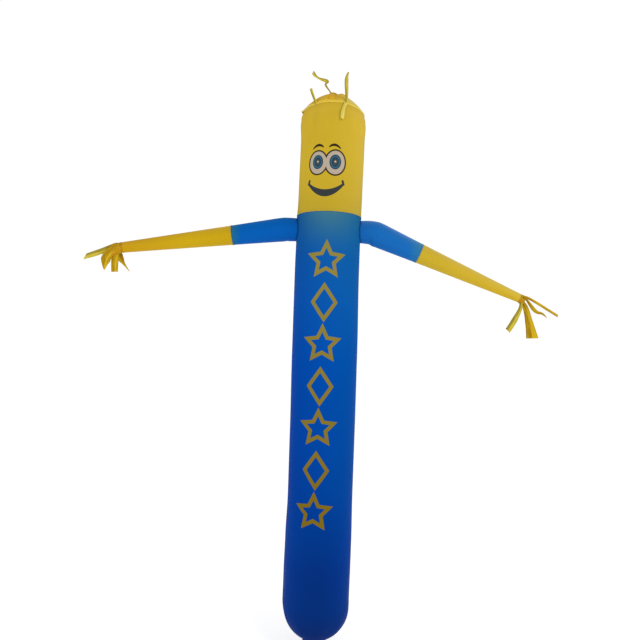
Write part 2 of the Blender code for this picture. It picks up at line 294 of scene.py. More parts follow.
dimples = (  # turn, height, reach round, reach in height, depth
    (-28, 2.150, 12, 0.075, 0.0040),
    (-150, 2.165, 11, 0.060, 0.0045),
    (24, 2.140, 12, 0.090, 0.0035),
    (158, 2.155, 13, 0.070, 0.0040),
    (-70, 0.420, 9, 0.120, 0.0030),
    (-12, 0.360, 8, 0.100, 0.0040),
    (-168, 0.400, 8, 0.110, 0.0035),
    (80, 0.450, 11, 0.150, 0.0040),
    (-58, 2.810, 8, 0.060, 0.0045),
    (-128, 2.835, 9, 0.050, 0.0040),
    (64, 2.820, 10, 0.070, 0.0045),
)
softFolds = (  # turn, height, lean, half width, half length, depth
    (-151, 2.208, 42, 0.013, 0.060, 0.0018),
    (-158, 2.186, 20, 0.011, 0.050, 0.0014),
    (-147, 2.296, -38, 0.010, 0.034, 0.0012),
    (-29, 2.204, -42, 0.013, 0.062, 0.0020),
    (-21, 2.180, -18, 0.011, 0.052, 0.0014),
    (-33, 2.297, 36, 0.010, 0.034, 0.0012),
    (30, 2.206, 40, 0.013, 0.058, 0.0018),
    (22, 2.178, 16, 0.011, 0.050, 0.0013),
    (33, 2.298, -34, 0.010, 0.032, 0.0011),
    (150, 2.204, -40, 0.013, 0.060, 0.0018),
    (158, 2.180, -18, 0.011, 0.046, 0.0013),
    (146, 2.298, 36, 0.010, 0.032, 0.0011),
    (-112, 1.820, 4, 0.030, 0.200, 0.0007),
    (-64, 1.420, -5, 0.034, 0.240, 0.0008),
    (-131, 1.080, 3, 0.030, 0.220, 0.0008),
    (-84, 0.640, -4, 0.026, 0.180, 0.0010),
    (-48, 0.520, 6, 0.020, 0.120, 0.0012),
    (-108, 0.330, -4, 0.014, 0.090, 0.0014),
    (-62, 0.290, 5, 0.014, 0.080, 0.0015),
    (-88, 0.250, 2, 0.012, 0.070, 0.0012),
    (-136, 0.280, -6, 0.013, 0.080, 0.0014),
    (-36, 0.260, 7, 0.013, 0.075, 0.0015),
    (12, 0.270, -5, 0.013, 0.080, 0.0014),
    (48, 0.280, 4, 0.013, 0.080, 0.0013),
    (112, 0.270, -4, 0.013, 0.080, 0.0014),
    (146, 0.290, 6, 0.013, 0.080, 0.0013),
    (176, 0.260, -5, 0.013, 0.075, 0.0014),
    (40, 1.660, 6, 0.032, 0.220, 0.0008),
    (128, 1.240, -5, 0.032, 0.240, 0.0008),
    (60, 0.900, 4, 0.030, 0.200, 0.0009),
    (-50, 2.795, 8, 0.010, 0.060, 0.0016),
    (-38, 2.760, 12, 0.012, 0.070, 0.0012),
    (-66, 2.640, -3, 0.026, 0.110, 0.0007),
    (-128, 2.790, -6, 0.011, 0.050, 0.0012),
    (-100, 2.820, -3, 0.012, 0.040, 0.0009),
    (-80, 2.815, 4, 0.010, 0.045, 0.0010),
    (20, 2.780, 9, 0.011, 0.060, 0.0014),
    (54, 2.800, -7, 0.010, 0.050, 0.0013),
    (104, 2.790, 6, 0.011, 0.060, 0.0014),
    (140, 2.805, -8, 0.010, 0.050, 0.0012),
    (178, 2.790, 5, 0.011, 0.055, 0.0013),
)
neckPuckers = (  # turn, reach up and down from the neck seam, depth
    (-168, 0.034, 0.0010),
    (-151, 0.026, 0.0008),
    (-137, 0.044, 0.0011),
    (-122, 0.022, 0.0007),
    (-109, 0.036, 0.0009),
    (-97, 0.024, 0.0007),
    (-83, 0.046, 0.0010),
    (-71, 0.022, 0.0007),
    (-58, 0.036, 0.0010),
    (-44, 0.028, 0.0009),
    (-31, 0.042, 0.0011),
    (-15, 0.026, 0.0008),
    (2, 0.038, 0.0010),
    (19, 0.024, 0.0008),
    (37, 0.042, 0.0010),
    (56, 0.028, 0.0008),
    (74, 0.034, 0.0009),
    (104, 0.036, 0.0009),
    (123, 0.026, 0.0008),
    (141, 0.042, 0.0010),
    (160, 0.028, 0.0009),
    (176, 0.034, 0.0008),
)
gathers = (  # height, reach, depth, folds
    (tube["crown"], 0.055, 0.0030, 10),
    (tube["neck"], 0.030, 0.0012, 8),
)


def waistAt(height):
    for (low, radius, drift), (high, radiusAbove, driftAbove) in zip(waists, waists[1:]):
        if height <= high:
            share = smooth((height - low) / (high - low))
            return radius + (radiusAbove - radius) * share, drift + (driftAbove - drift) * share
    return waists[-1][1:]


def bowlRadius(height):
    drop = min((tube["bowlTop"] - height) / tube["bowlHeight"], 0.99)
    drawnIn = (1 - drop ** tube["bowlFullness"]) ** (1 / tube["bowlFullness"])
    return max(tube["collarRadius"], waistAt(height)[0] * drawnIn)


def solidRadius(angle, height):
    # the cloth's outer radius as the solids have it
    if height < tube["bowlTop"]:
        share = (tube["bowlTop"] - height) / (tube["bowlDeepest"] * tube["bowlHeight"])
        pucker = tube["bowlPucker"] * sin(pi * smooth(share))
        return bowlRadius(height) + pucker * uneven(angle, tube["bowlFolds"])
    radius = waistAt(height)[0]
    for seam, reach, depth, folds in gathers:
        radius += depth * hump(height - seam, reach) * uneven(angle, folds)
    for turn, middle, roundReach, heightReach, depth in dimples:
        if abs(height - middle) < 3 * heightReach:
            across = wrapped(angle - radians(turn)) / radians(roundReach)
            radius -= depth * exp(-across * across) * hump(height - middle, heightReach)
    return radius


def tubeRadius(angle, height):
    # the same with its soft folds, puckers and the felled seam down the back
    drawn = radius = solidRadius(angle, height)

    def beside(turn):
        return wrapped(angle - radians(turn)) * drawn

    for turn, middle, *fold in softFolds:
        if abs(height - middle) < 2.6 * fold[2]:
            radius -= foldDepth(beside(turn), height - middle, *fold)
    fromNeck = abs(height - tube["neck"])
    if fromNeck < tube["puckerSpan"]:
        for turn, reach, depth in neckPuckers:
            radius -= foldDepth(beside(turn), 0, 0, tube["puckerHalf"], 1, depth * exp(-fromNeck / reach))
    offSeam = abs(beside(90)) - tube["backSeamHalf"]
    return radius + tube["backSeamProud"] * (1 - smooth(offSeam / tube["backSeamEdge"]))


def roundTurns(count, radius):
    # turns from the back seam round the front and back again, close together on the felled seam
    seam = [0.0] + [side * offset / radius for offset in tube["backSeamColumns"] for side in (-1, 1)]
    clear = tube["backSeamClear"] / radius
    turns = [turn % (2 * pi) for turn in seam]
    turns += [turn for turn in evenTurns(count) if clear < turn < 2 * pi - clear]
    return [pi / 2 + turn for turn in sorted(turns)]


def seamShift(turn, height):
    # the neck's seam is higher in front, and the crown's seam is lower at its sides
    tilt = -tube["neckTilt"] * sin(turn) * hump(tube["neck"] - height, tube["tiltReach"])
    arch = tube["crownLift"] - (tube["crownDroop"] + tube["crownLean"] * cos(turn)) * cos(turn) ** 2
    return tilt + arch * smooth((height - tube["droopStart"]) / (tube["crown"] - tube["droopStart"]))


def tubePoint(turn, height, radius):
    x, y = waistAt(height)[1] + radius * cos(turn), radius * sin(turn)
    return Vector((x, y, height + seamShift(turn, height)))


def levelRing(turns, height, proud=0.0):
    return [tubePoint(turn, height, tubeRadius(turn, height) + proud) for turn in turns]


def addRings(bm, rings, tip=None):
    loops = [[bm.verts.new(point) for point in ring] for ring in rings]
    count = len(rings[0])
    for first, second in zip(loops, loops[1:]):
        for here in range(count):
            there = (here + 1) % count
            bm.faces.new((first[here], first[there], second[there], second[here]))
    if tip:
        middle = bm.verts.new(tip)
        for here in range(count):
            bm.faces.new((loops[-1][here], loops[-1][(here + 1) % count], middle))
    return loops


def linked(name, data):
    made = bpy.data.objects.new(name, data)
    bpy.context.scene.collection.objects.link(made)
    return made


def intoMesh(bm, mesh):
    # the faces turned outwards and shaded smooth
    bmesh.ops.recalc_face_normals(bm, faces=bm.faces)
    bm.to_mesh(mesh)
    bm.free()
    mesh.shade_smooth()


def meshObject(name, bm, *materials):
    mesh = bpy.data.meshes.new(name)
    for material in materials:
        mesh.materials.append(material)
    intoMesh(bm, mesh)
    return linked(name, mesh)


def unroll(mesh, flat):
    # the UV map is in metres: flat gives a vertex's two places, and the girth that closes the last column
    layer = mesh.uv_layers.new(name="cloth")
    for polygon in mesh.polygons:
        corners = [flat[mesh.loops[k].vertex_index] for k in polygon.loop_indices]
        across = [corner[0] for corner in corners]
        split = max(across) - min(across) > corners[0][2] / 2
        for k, (u, v, girth) in zip(polygon.loop_indices, corners):
            layer.data[k].uv = (u + girth if split and u < 0 else u, v)


def thickened(made, even=True):
    wall = made.modifiers.new("cloth", "SOLIDIFY")
    wall.thickness = tube["sheet"]
    wall.offset = -1
    wall.use_even_offset = even
    wall.use_rim = True
    return made


def dressed(made, slot, *nodes):
    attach(made, "root")
    if nodes:
        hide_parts(*nodes)
    return made


def tubePiece(name, cut, material, heights, hems, shaped=None):
    # hems are the ranges of height where the cloth is turned in and stands proud
    turns = roundTurns(cut["columns"], cut["radius"])
    bm = bmesh.new()
    rings = []
    for height in heights:
        hemmed = any(low <= height < high for low, high in hems)
        rings.append(levelRing(turns, height, tube["hemProud"] if hemmed else 0.0))
    addRings(bm, rings)
    if shaped:
        shaped(bm)
    made = meshObject(name, bm, material)
    flat = []
    for vertex in made.data.vertices:
        radius, drift = waistAt(vertex.co.z)
        turn = wrapped(atan2(vertex.co.y, vertex.co.x - drift) + pi / 2)
        flat.append((turn * radius, vertex.co.z, 2 * pi * cut["radius"]))
    unroll(made.data, flat)
    return thickened(made)


# coated nylon: a woven square grid, faint crinkles and cloudy tone, under whatever is printed on it
cloth = {
    "gridPitch": 0.0052,
    "gridLine": 0.00045,
    "gridProud": 0.00005,
    "gridTone": 0.02,
    "cloudScale": 3.1,
    "cloudTone": 0.14,
    "darkest": 0.93,
    "crinkleScale": 11.0,
    "crinkleProud": 0.0009,
    "crinkleGloss": 0.10,
    "weaveScale": 900.0,
    "weaveProud": 0.00002,
    "roughness": 0.52,
    "inkRoughness": 0.44,
}


def clothMaterial(name, colourOf, gloss):
    # colourOf gets the places of a spot, and gives its colour and the mask of its ink, if it has any
    def valuesOf(start):
        across, along, _ = start.node("ShaderNodeUVMap", uv_map="cloth").parts()
        solid = start.node("ShaderNodeTexCoord", output="Object")
        right, _, height = solid.parts()
        cloud = solid.noise(cloth["cloudScale"], 3.0, 0.55)
        crinkle = solid.noise(cloth["crinkleScale"], 4.0, 0.55, 0.6)
        weave = solid.noise(cloth["weaveScale"], 1.0)
        half = cloth["gridPitch"] / 2
        lines = [side.maths("PINGPONG", half).near(cloth["gridLine"]) for side in (across, along)]
        grid = lines[0].most(lines[1])
        spot = SimpleNamespace(right=right, height=height, across=across, along=along, cloud=cloud)
        colour, ink = colourOf(spot)
        tone = cloth["darkest"] + cloud * cloth["cloudTone"] + grid * cloth["gridTone"]
        rise = grid * cloth["gridProud"] + crinkle * cloth["crinkleProud"] + weave * cloth["weaveProud"]
        rough = cloth["roughness"] + (crinkle - 0.5) * cloth["crinkleGloss"]
        if ink:
            rough = rough + ink * (cloth["inkRoughness"] - cloth["roughness"])
        return {
            "Base Color": colour.scaled(tone),
            "Roughness": rough,
            "Normal": bumped(rise),
            "Specular IOR Level": gloss,
        }

    return newMaterial(name, valuesOf)


# blue of the body, deeper towards the foot and greener under the neck: the deeper blue low down is painted
# shade, and the greener blue under the neck is painted light
bodyBlues = (  # height, red, green, blue
    (0.15, 8, 42, 106),
    (0.28, 5, 50, 122),
    (0.50, 3, 52, 130),
    (0.70, 0, 60, 141),
    (0.86, 0, 66, 150),
    (1.10, 0, 71, 156),
    (1.55, 0, 77, 163),
    (1.88, 7, 87, 165),
    (2.12, 11, 91, 161),
    (2.30, 19, 98, 150),
)
# painted light and shade: violet and darker at the left of the chest, greener and lighter at the right, pale
# low edges
bodyPaintedLight = {
    "radius": 0.1755,
    "gain": 1.19,
    "from": 0.55,
    "to": 0.95,
    "left": (0.9, 0.82, 1.05, 1),
    "right": (1.3, 1.08, 1.06, 1),
    "middle": (1.0, 0.88, 0.96, 1),
    "edges": (0.9, 1.14, 1.24, 1),
}
# painted light under the neck: the blue paler and greener there
paintedNeckLight = {"tint": paint(63, 116, 135), "from": 2.09, "to": 2.34, "reach": 0.135}
# printed down the front in turn, an outlined star and an outlined diamond
motifs = {
    "top": 2.089,
    "pitch": 0.216,
    "count": 7,
    "start": -0.007,
    "lean": 0.0208,
    "halfStroke": 0.0095,
    "edge": 0.0012,
    "starReach": 0.086,
    "starWaist": 0.042,
    "diamondWide": 0.060,
    "diamondTall": 0.086,
    "fadeFrom": 0.8,
    "fadeTo": 2.1,
    "above": paint(142, 129, 58),
    "below": paint(127, 105, 22),
}


def starAndDiamond(across, along):
    row = ((motifs["top"] - along) / motifs["pitch"]).maths("ROUND").most(0.0).least(motifs["count"] - 1.0)
    x = across - (motifs["start"] - row * (motifs["lean"] * motifs["pitch"]))
    y = along - (motifs["top"] - row * motifs["pitch"])
    point = 2 * pi / 5
    turn = x.maths("ARCTAN2", y) + point * 2.5
    turn = abs(turn.maths("MODULO", point) - point / 2)
    reach = reachOf(x, y)
    tip, waist = motifs["starReach"], motifs["starWaist"]
    side = Vector((waist * sin(point / 2), tip - waist * cos(point / 2))).normalized()
    star = (reach * turn.maths("COSINE") - tip) * side.x + reach * turn.maths("SINE") * side.y
    wide, tall = motifs["diamondWide"], motifs["diamondTall"]
    diamond = (abs(x) / wide + abs(y) / tall - 1.0) / hypot(1 / wide, 1 / tall)
    isDiamond = row.maths("MODULO", 2.0)
    off = abs(star + (diamond - star) * isDiamond)
    return (motifs["halfStroke"] - off).inked(motifs["edge"])


def printedBlue(spot):
    # painted light and shade across the body: darker at the left of the chest, lighter at its right, paler
    # edges low down
    share = ((spot.across / bodyPaintedLight["radius"]).maths("SINE") * bodyPaintedLight["gain"]).least(1.0).most(-1.0)
    chest = (share * 0.5 + 0.5).mixed(bodyPaintedLight["left"], bodyPaintedLight["right"])
    foot = (share * share).mixed(bodyPaintedLight["middle"], bodyPaintedLight["edges"])
    fade = spot.height.between(bodyPaintedLight["from"], bodyPaintedLight["to"]).mixed(foot, chest)
    ground = rampOf(spot.height, bodyBlues).tinted(fade)
    # painted light, paler and greener, under the neck
    near = spot.height.between(paintedNeckLight["from"], paintedNeckLight["to"])
    ground = (near * near * spot.across.hump(paintedNeckLight["reach"])).mixed(ground, paintedNeckLight["tint"])
    ink = starAndDiamond(spot.across, spot.along)
    # painted shade: the printed gold darker towards the foot
    gold = spot.height.between(motifs["fadeFrom"], motifs["fadeTo"]).mixed(motifs["below"], motifs["above"])
    return ink.mixed(ground, gold), ink


bodyMaterial = clothMaterial("printedBlueCloth", printedBlue, 0.012)
bodyCut = {
    "columns": 150,
    "radius": 0.176,
    "collarEdge": 0.0015,
    "armholes": ((-1, 0.0595), (1, 0.0575)),  # side, radius
    "armholeWall": 0.175,
    "armholeTop": 0.065,
    "armholeCut": 0.002,
    "armholeDrawn": 0.02,
}


def onBody(side, y, z, proud=0.0):
    # the place on the body's wall beside a sleeve
    turn = asin(y / bodyCut["armholeWall"])
    wall = tubeRadius(turn if side > 0 else pi - turn, z) + proud
    return Vector((waistAt(z)[1] + side * sqrt(wall * wall - y * y), y, z))


def openArmholes(bm):
    # cuts a round hole for each sleeve and draws its edge onto the circle
    shoulder = tube["shoulder"]

    def offset(vertex):
        return hypot(vertex.co.y, vertex.co.z - shoulder)

    ends = {v for v in bm.verts if v.is_boundary and abs(v.co.z - shoulder) > bodyCut["armholeTop"]}
    for side, radius in bodyCut["armholes"]:
        beside = [quad for quad in bm.faces if quad.calc_center_median().x * side > 0]
        cut = radius + bodyCut["armholeCut"]
        inside = [quad for quad in beside if all(offset(vertex) < cut for vertex in quad.verts)]
        bmesh.ops.delete(bm, geom=inside, context="FACES")
        for vertex in bm.verts:
            onEdge = vertex.is_boundary and vertex not in ends and vertex.co.x * side > 0
            if onEdge and offset(vertex) < radius + bodyCut["armholeDrawn"]:
                share = radius / offset(vertex)
                vertex.co = onBody(side, vertex.co.y * share, shoulder + (vertex.co.z - shoulder) * share)


def buildBody():
    hem, neck = tube["neck"] - tube["neckHem"], tube["neck"] - tube["seamGap"] / 2
    heights = stations(
        0.0,
        (0.008, tube["collarHem"], tube["collarHem"] + bodyCut["collarEdge"], 0.09),
        (0.0065, tube["bowlTop"]),
        (0.011, 0.66),
        (0.020, 2.06),
        (0.008, 2.20, hem - tube["hemEdge"]),
        (0.0034, hem, neck),
    )
    hems = ((0.0, tube["collarHem"]), (hem - spare, inf))
    body = tubePiece("bodyTube", bodyCut, bodyMaterial, heights, hems, openArmholes)
    return dressed(body, "blue_cloth", "body_tube")


body = buildBody()
print("body done")

# the face is printed flat: places along the front (positive to +X) and heights, in metres
face = {
    "eyes": ((-0.0758, 2.590, 0.98), (0.0165, 2.590, 1.03)),  # across, height, scale
    "rings": (  # ink, half width, half height, rise
        ("outline", 0.0563, 0.0663, 0.0),
        ("white", 0.0485, 0.0585, 0.0),
        ("rim", 0.0295, 0.0370, 0.0030),
        ("iris", 0.0237, 0.0312, 0.0030),
        ("inner", 0.0180, 0.0250, 0.0030),
        ("pupil", 0.0110, 0.0150, 0.0030),
        ("glint", 0.0046, 0.0046, 0.0050),
    ),
    "brows": ((-1, -0.0770, 2.6800), (1, 0.0115, 2.6805)),  # side, across, height
    "browHalf": 0.0310,
    "browDrop": 0.0150,
    "browLean": 0.0035,
    "browThick": 0.0066,
    "browTaper": 0.25,
    "smileMiddle": -0.0308,
    "smileHalf": 0.0955,
    "smileCorner": 2.4905,
    "smileUpper": 2.4520,
    "smileLower": 2.4155,
    "smileEnds": 0.0155,
    "tickHalf": 0.0064,
    "tickFoot": (0.0002, -0.009),  # out from the smile's corner, and up
    "tickTop": (-0.0050, 0.007),
    "edge": 0.0010,
}
inks = {
    "outline": paint(60, 48, 26),
    "white": paint(181, 166, 148),
    "rim": paint(38, 64, 80),
    "iris": paint(50, 100, 124),
    "inner": paint(40, 64, 78),
    "pupil": paint(70, 74, 72),
    "glint": paint(200, 184, 164),
    "brow": paint(44, 38, 20),
    "smile": paint(52, 58, 59),
}
headYellows = (  # height, red, green, blue
    (2.335, 189, 162, 44),
    (2.45, 198, 168, 42),
    (2.62, 203, 172, 42),
    (2.80, 203, 171, 43),
    (2.89, 205, 173, 50),
)
# painted light on the head too: paler at its sides than in the middle of its front, most at its right, where
# a painted sheen whitens it
headPaintedLight = {
    "radius": 0.172,
    "gain": 1.4,
    "left": (1.07, 1.06, 0.98, 1),
    "right": (1.09, 1.09, 1.80, 1),
    "middle": (0.95, 0.95, 0.92, 1),
}


def ellipse(spot, eye, wide, tall, rise):
    across, height, scale = eye
    x, y = (spot.across - across) / (wide * scale), (spot.along - height - rise) / (tall * scale)
    return (1 - reachOf(x, y)) * min(wide, tall)


def capsule(spot, start, end, half):
    dx, dy = end[0] - start[0], end[1] - start[1]
    x, y = spot.across - start[0], spot.along - start[1]
    share = ((x * dx + y * dy) / (dx * dx + dy * dy)).clamped()
    return half - reachOf(x - share * dx, y - share * dy)


def browAt(spot, side, middle, top):
    share = (spot.across - middle) / face["browHalf"]
    bend = share * share
    thick = (1 - bend).most(0.0).maths("POWER", face["browTaper"]) * face["browThick"]
    arch = top - bend * face["browDrop"] - share * (side * face["browLean"])
    return (thick - abs(spot.along - arch)).least((1 - abs(share)) * face["browHalf"])


def smileAt(spot):
    corner, half = face["smileCorner"], face["smileHalf"]
    share = (spot.across - face["smileMiddle"]) / half
    bend = share * share
    upper = face["smileUpper"] + bend * (corner - face["smileUpper"])
    lower = face["smileLower"] + bend * (corner - face["smileEnds"] - face["smileLower"])
    smile = (upper - spot.along).least(spot.along - lower).least((1 - abs(share)) * half)
    for side in (-1, 1):
        ends = []
        for out, up in (face["tickFoot"], face["tickTop"]):
            ends.append((face["smileMiddle"] + side * (half + out), corner + up))
        smile = smile.most(capsule(spot, *ends, face["tickHalf"]))
    return smile


def printedYellow(spot):
    # painted light across the head, most at its right
    share = (spot.across / headPaintedLight["radius"]).maths("SINE")
    edges = (share * 0.5 + 0.5).mixed(headPaintedLight["left"], headPaintedLight["right"])
    fade = (share * share * headPaintedLight["gain"]).least(1.0).mixed(headPaintedLight["middle"], edges)
    colour = rampOf(spot.height, headYellows).tinted(fade)
    shapes = []
    for name, *sizes in face["rings"]:
        left, right = [ellipse(spot, eye, *sizes) for eye in face["eyes"]]
        shapes.append((name, left.most(right)))
    shapes += [("brow", browAt(spot, *brow)) for brow in face["brows"]]
    shapes.append(("smile", smileAt(spot)))
    ink = None
    for name, shape in shapes:
        mask = shape.inked(face["edge"])
        colour = mask.mixed(colour, inks[name])
        ink = mask.most(ink) if ink else mask
    return colour, ink


headMaterial = clothMaterial("printedYellowCloth", printedYellow, 0.06)
headCut = {"columns": 144, "radius": 0.172}


def buildHead():
    neck, hem = tube["neck"] + tube["seamGap"] / 2, tube["neck"] + tube["neckHem"]
    heights = stations(
        neck,
        (0.0034, hem, hem + tube["hemEdge"]),
        (0.008, 2.44),
        (0.014, 2.70),
        (0.006, 2.86, tube["crown"] - tube["seamGap"] / 2),
    )
    head = tubePiece("headTube", headCut, headMaterial, heights, ((neck, hem + spare),))
    return dressed(head, "yellow_cloth", "head_tube")


head = buildHead()
print("head done")


# unprinted cloth, whose tone changes along X: on the sleeves and the tape that change is painted light
def sideways(stops, paintedTopLight=None, reach=0.038):
    # the second argument gives the paler tones of painted light along the top of a sleeve, where the UV map
    # starts; they end at the reach
    def colourOf(spot):
        colour = rampOf(spot.right, stops)
        if paintedTopLight:
            colour = spot.across.hump(reach).mixed(colour, rampOf(spot.right, paintedTopLight))
        return colour, None

    return colourOf


# how fast the painted light and shade change across a strip, along it and with the cloud
ribbonStreaks = {"ways": (130.0, 16.0, 3.0), "from": 0.4, "gain": 2.2, "foldEdge": 0.002, "foldGain": 0.8}
# painted light and shade on gathered cloth, darkest in its creases
bunchCreases = {"ways": (105.0, 26.0, 3.0), "from": 0.36, "gain": 3.2, "width": 0.08, "deepest": 0.5}
# painted shade in the crown's folds and round its gathered middle
crownFolds = {
    "ways": (4.2, 3.0),  # round the crown, and out from its middle
    "from": 0.54,
    "gain": 9.0,
    "depth": 0.6,
    "sideReach": 0.075,
    "gatherReach": 0.040,
    "gatherDepth": 0.7,
    "middle": 0.005,
    # painted highlight: a pale line round the edge of the cap
    "paleFrom": 0.155,
    "paleTo": 0.158,
    "pale": paint(222, 192, 76),
}


def streaksOf(spot, ways, distortion=0.0):
    across, along, cloudy = ways
    place = (spot.across * across).joined(spot.along * along, spot.cloud * cloudy)
    return place.noise(1.0, 1.0, 0.5, distortion)


def streaked(first, second):
    # cut strips, folded lengthwise: painted shade darkens one half, and painted light and shade pick out long
    # folds
    def colourOf(spot):
        paintedFolds = (streaksOf(spot, ribbonStreaks["ways"]) - ribbonStreaks["from"]) * ribbonStreaks["gain"]
        # painted shade on one half of the strip
        half = spot.across.inked(ribbonStreaks["foldEdge"]) * ribbonStreaks["foldGain"]
        return (paintedFolds + half).clamped().mixed(first, second), None

    return colourOf


def bunched(first, second, dark):
    # gathered cloth: painted shade in its creases, and painted light and shade in streaks along its gathers
    def colourOf(spot):
        crease = streaksOf(spot, bunchCreases["ways"], 0.15)
        colour = ((crease - bunchCreases["from"]) * bunchCreases["gain"]).clamped().mixed(first, second)
        paintedFoldShade = abs(crease - 0.5).near(bunchCreases["width"])
        return (paintedFoldShade * paintedFoldShade * bunchCreases["deepest"]).mixed(colour, dark), None

    return colourOf


def radiating(stops, dark):
    # the crown's folds run out from its middle, with painted shade in them and round its gathered middle; the
    # UV map has its middle at the origin
    def colourOf(spot):
        across, along = spot.across, spot.along
        reach = reachOf(across, along)
        around, out = crownFolds["ways"]
        fold = (across / reach * around).joined(along / reach * around, reach * out).noise(1.0, 2.0)
        paintedFoldShade = ((fold - crownFolds["from"]) * crownFolds["gain"]).clamped()
        paintedFoldShade = paintedFoldShade * across.near(crownFolds["sideReach"]) * crownFolds["depth"]
        gathered = reach.hump(crownFolds["gatherReach"]) * crownFolds["gatherDepth"]
        colour = paintedFoldShade.most(gathered).mixed(rampOf(spot.right, stops), dark)
        # painted highlight round the cap's edge
        fromMiddle = reachOf(across - crownFolds["middle"], along)
        edge = fromMiddle.between(crownFolds["paleFrom"], crownFolds["paleTo"])
        return edge.mixed(colour, crownFolds["pale"]), None

    return colourOf


# tones: place along X, red, green, blue. On the sleeves, painted light makes the right sleeve lighter than
# the left
sleeveYellows = (
    (-1.1, 196, 152, 14),
    (-0.75, 200, 163, 16),
    (-0.50, 194, 158, 16),
    (0.45, 199, 169, 42),
    (0.75, 203, 170, 42),
    (1.0, 203, 168, 34),
)
# painted light: paler along the top of the yellow sleeves
yellowTops = (
    (-1.1, 208, 162, 44),
    (-0.75, 212, 174, 50),
    (-0.50, 234, 196, 90),
    (0.45, 236, 212, 124),
    (1.0, 224, 200, 88),
)
sleeveBlues = (
    (-0.515, 36, 106, 142),
    (-0.498, 24, 100, 148),
    (-0.466, 2, 91, 176),
    (-0.2, 2, 91, 176),
    (0.2, 22, 104, 182),
    (0.43, 24, 105, 182),
    (0.488, 46, 118, 164),
)
# painted light: paler along the top of the blue sleeves
blueTops = (
    (-0.515, 40, 118, 168),
    (-0.498, 36, 114, 172),
    (-0.466, 28, 114, 196),
    (-0.2, 26, 112, 192),
    (0.2, 104, 158, 234),
    (0.43, 120, 168, 230),
    (0.488, 104, 160, 198),
)
# painted light: the cap paler towards its right, and the tape paler at its left and right ends
capYellows = ((-0.15, 224, 180, 34), (0.0, 226, 178, 26), (0.05, 226, 190, 60), (0.10, 228, 208, 110))
tapeYellows = ((-0.16, 218, 198, 104), (-0.06, 224, 188, 60), (0.04, 222, 190, 66), (0.15, 222, 200, 96))
yellowMaterial = clothMaterial("yellowCloth", sideways(sleeveYellows, yellowTops, 0.034), 0.06)
blueMaterial = clothMaterial("blueCloth", sideways(sleeveBlues, blueTops), 0.03)
capMaterial = clothMaterial("crownCloth", radiating(capYellows, paint(170, 130, 20)), 0.05)
# the olive ribbon cloth is the ribbon's yellow darkened by painted shade
ribbonCloths = []
for name, colourOf in (
    ("seamTape", sideways(tapeYellows)),
    ("paleRibbon", streaked(paint(204, 186, 80), paint(224, 208, 102))),
    ("shadedOliveRibbon", streaked(paint(146, 132, 46), paint(206, 186, 62))),
    ("ribbonCloth", streaked(paint(160, 122, 14), paint(212, 176, 30))),
    ("bunchedCloth", bunched(paint(188, 138, 20), paint(208, 160, 32), paint(124, 86, 18))),
):
    ribbonCloths.append(clothMaterial(name, colourOf, 0.05))
tape, pale, shadedOlive, plain, bunch = range(len(ribbonCloths))

# the crown: a round panel on a taped seam, gathered in its middle
crown = {
    "band": 0.011,
    "bandTurns": 144,
    "bandRadius": 0.164,
    "bandShape": ((0.0, 0.1), (0.12, 0.6), (0.5, 1.0), (0.88, 1.0), (1.0, 0.6)),  # height, how proud
    "ribbonProud": 0.0015,
    "ribbonAt": 0.25,  # of the band, from its middle
    "leanUp": 0.08,
    "leanDown": 0.80,
    "capRise": 0.084,
    "capTurns": 160,
    "capRings": 44,
    "capSpread": 0.97,
    "capEasing": 0.9,
    "capDrift": 0.6,
    "capTip": 0.0001,
    "pinch": 0.0045,
    "pinchFolds": 11,
    "pinchWithin": 2.4,
    "foldReach": 2.6,
    "foldRidge": 0.6,
    "foldStart": 0.12,
    "foldEnd": 0.25,
    "tie": -0.013,
    "tieHeight": 0.016,
    "tieFoot": 0.016,
    "tieTop": 0.006,
    "tieTurns": 48,
    "tieRadius": 0.012,
    "tieShares": (0.0, 0.12, 0.25, 0.4, 0.55, 0.68, 0.78, 0.88, 1.0),
    "tieLeans": ((-0.35, 0, 1), (0.6, -0.2, 0.4)),
    "tieRoot": 0.6,
    "tieTip": 1.02,
    "tieEasing": 1.15,
    "pleats": 9,
    "pleatFade": 0.5,
    "pleatWaver": 0.7,
    "pleatDepth": 0.0011,
    "ear": 0.010,
    "earTurn": 188,
    "earReach": 6,
    "earLeast": 0.25,
    "earSwell": 1.2,
    "earStart": 0.02,
    "humps": ((0.052, -0.030, 0.026, 0.013), (0.012, -0.050, 0.016, -0.006)),  # x, y, reach, rise
}
ribbonCut = {
    "sections": 48,
    "across": (-1.0, -0.66, -0.33, -0.05, 0.05, 0.33, 0.66, 1.0),
    "cup": 0.08,  # of its width
    "cupEnd": 1.1,
    "cupWaves": 9,
    "pleatStart": 3,
    "slantPower": 5,
}

# one cut strip: turn is its root's place on its band, and pitches, widths and rolls change evenly from
# root to tip. pleat folds it lengthwise, slant cuts its tip aslant, cloth picks from ribbonCloths, and
# settled is the share of its length along which it leaves its root's lie
strip = namedtuple(
    "strip",
    "turn toward pitches length widths rolls pleat slant cloth settled",
    defaults=(0.0, 0.0, plain, 0.22),
)
tallWidths, hangingWidths = (0.012, 0.016, 0.020, 0.020, 0.006), (0.022, 0.016, 0.020, 0.021, 0.018)
crownRibbons = (
    strip(234, 182, (72, 66, 70, 72), 0.085, (0.012, 0.013), (60, 92), 0.10, 0.2, shadedOlive),
    strip(291.5, 10, (88, 92, 94, 90, 64), 0.162, tallWidths, (80, 92), 0.22, 0.4, shadedOlive),
    strip(290, 222, (-46, -62, -76, -82, -80), 0.100, hangingWidths, (96, 130), 0.06, 0.2, pale),
)
tiePitches = (53,) * 6 + (54, 60, 95, 138, 154, 24, 12, 13, 15, 17, 20, 24, 30, 37, 44, 50, 55, 58)
tieWidths = (0.008, 0.007, 0.008, 0.011, 0.013, 0.015, 0.017, 0.015, 0.011, 0.011, 0.017, 0.018)
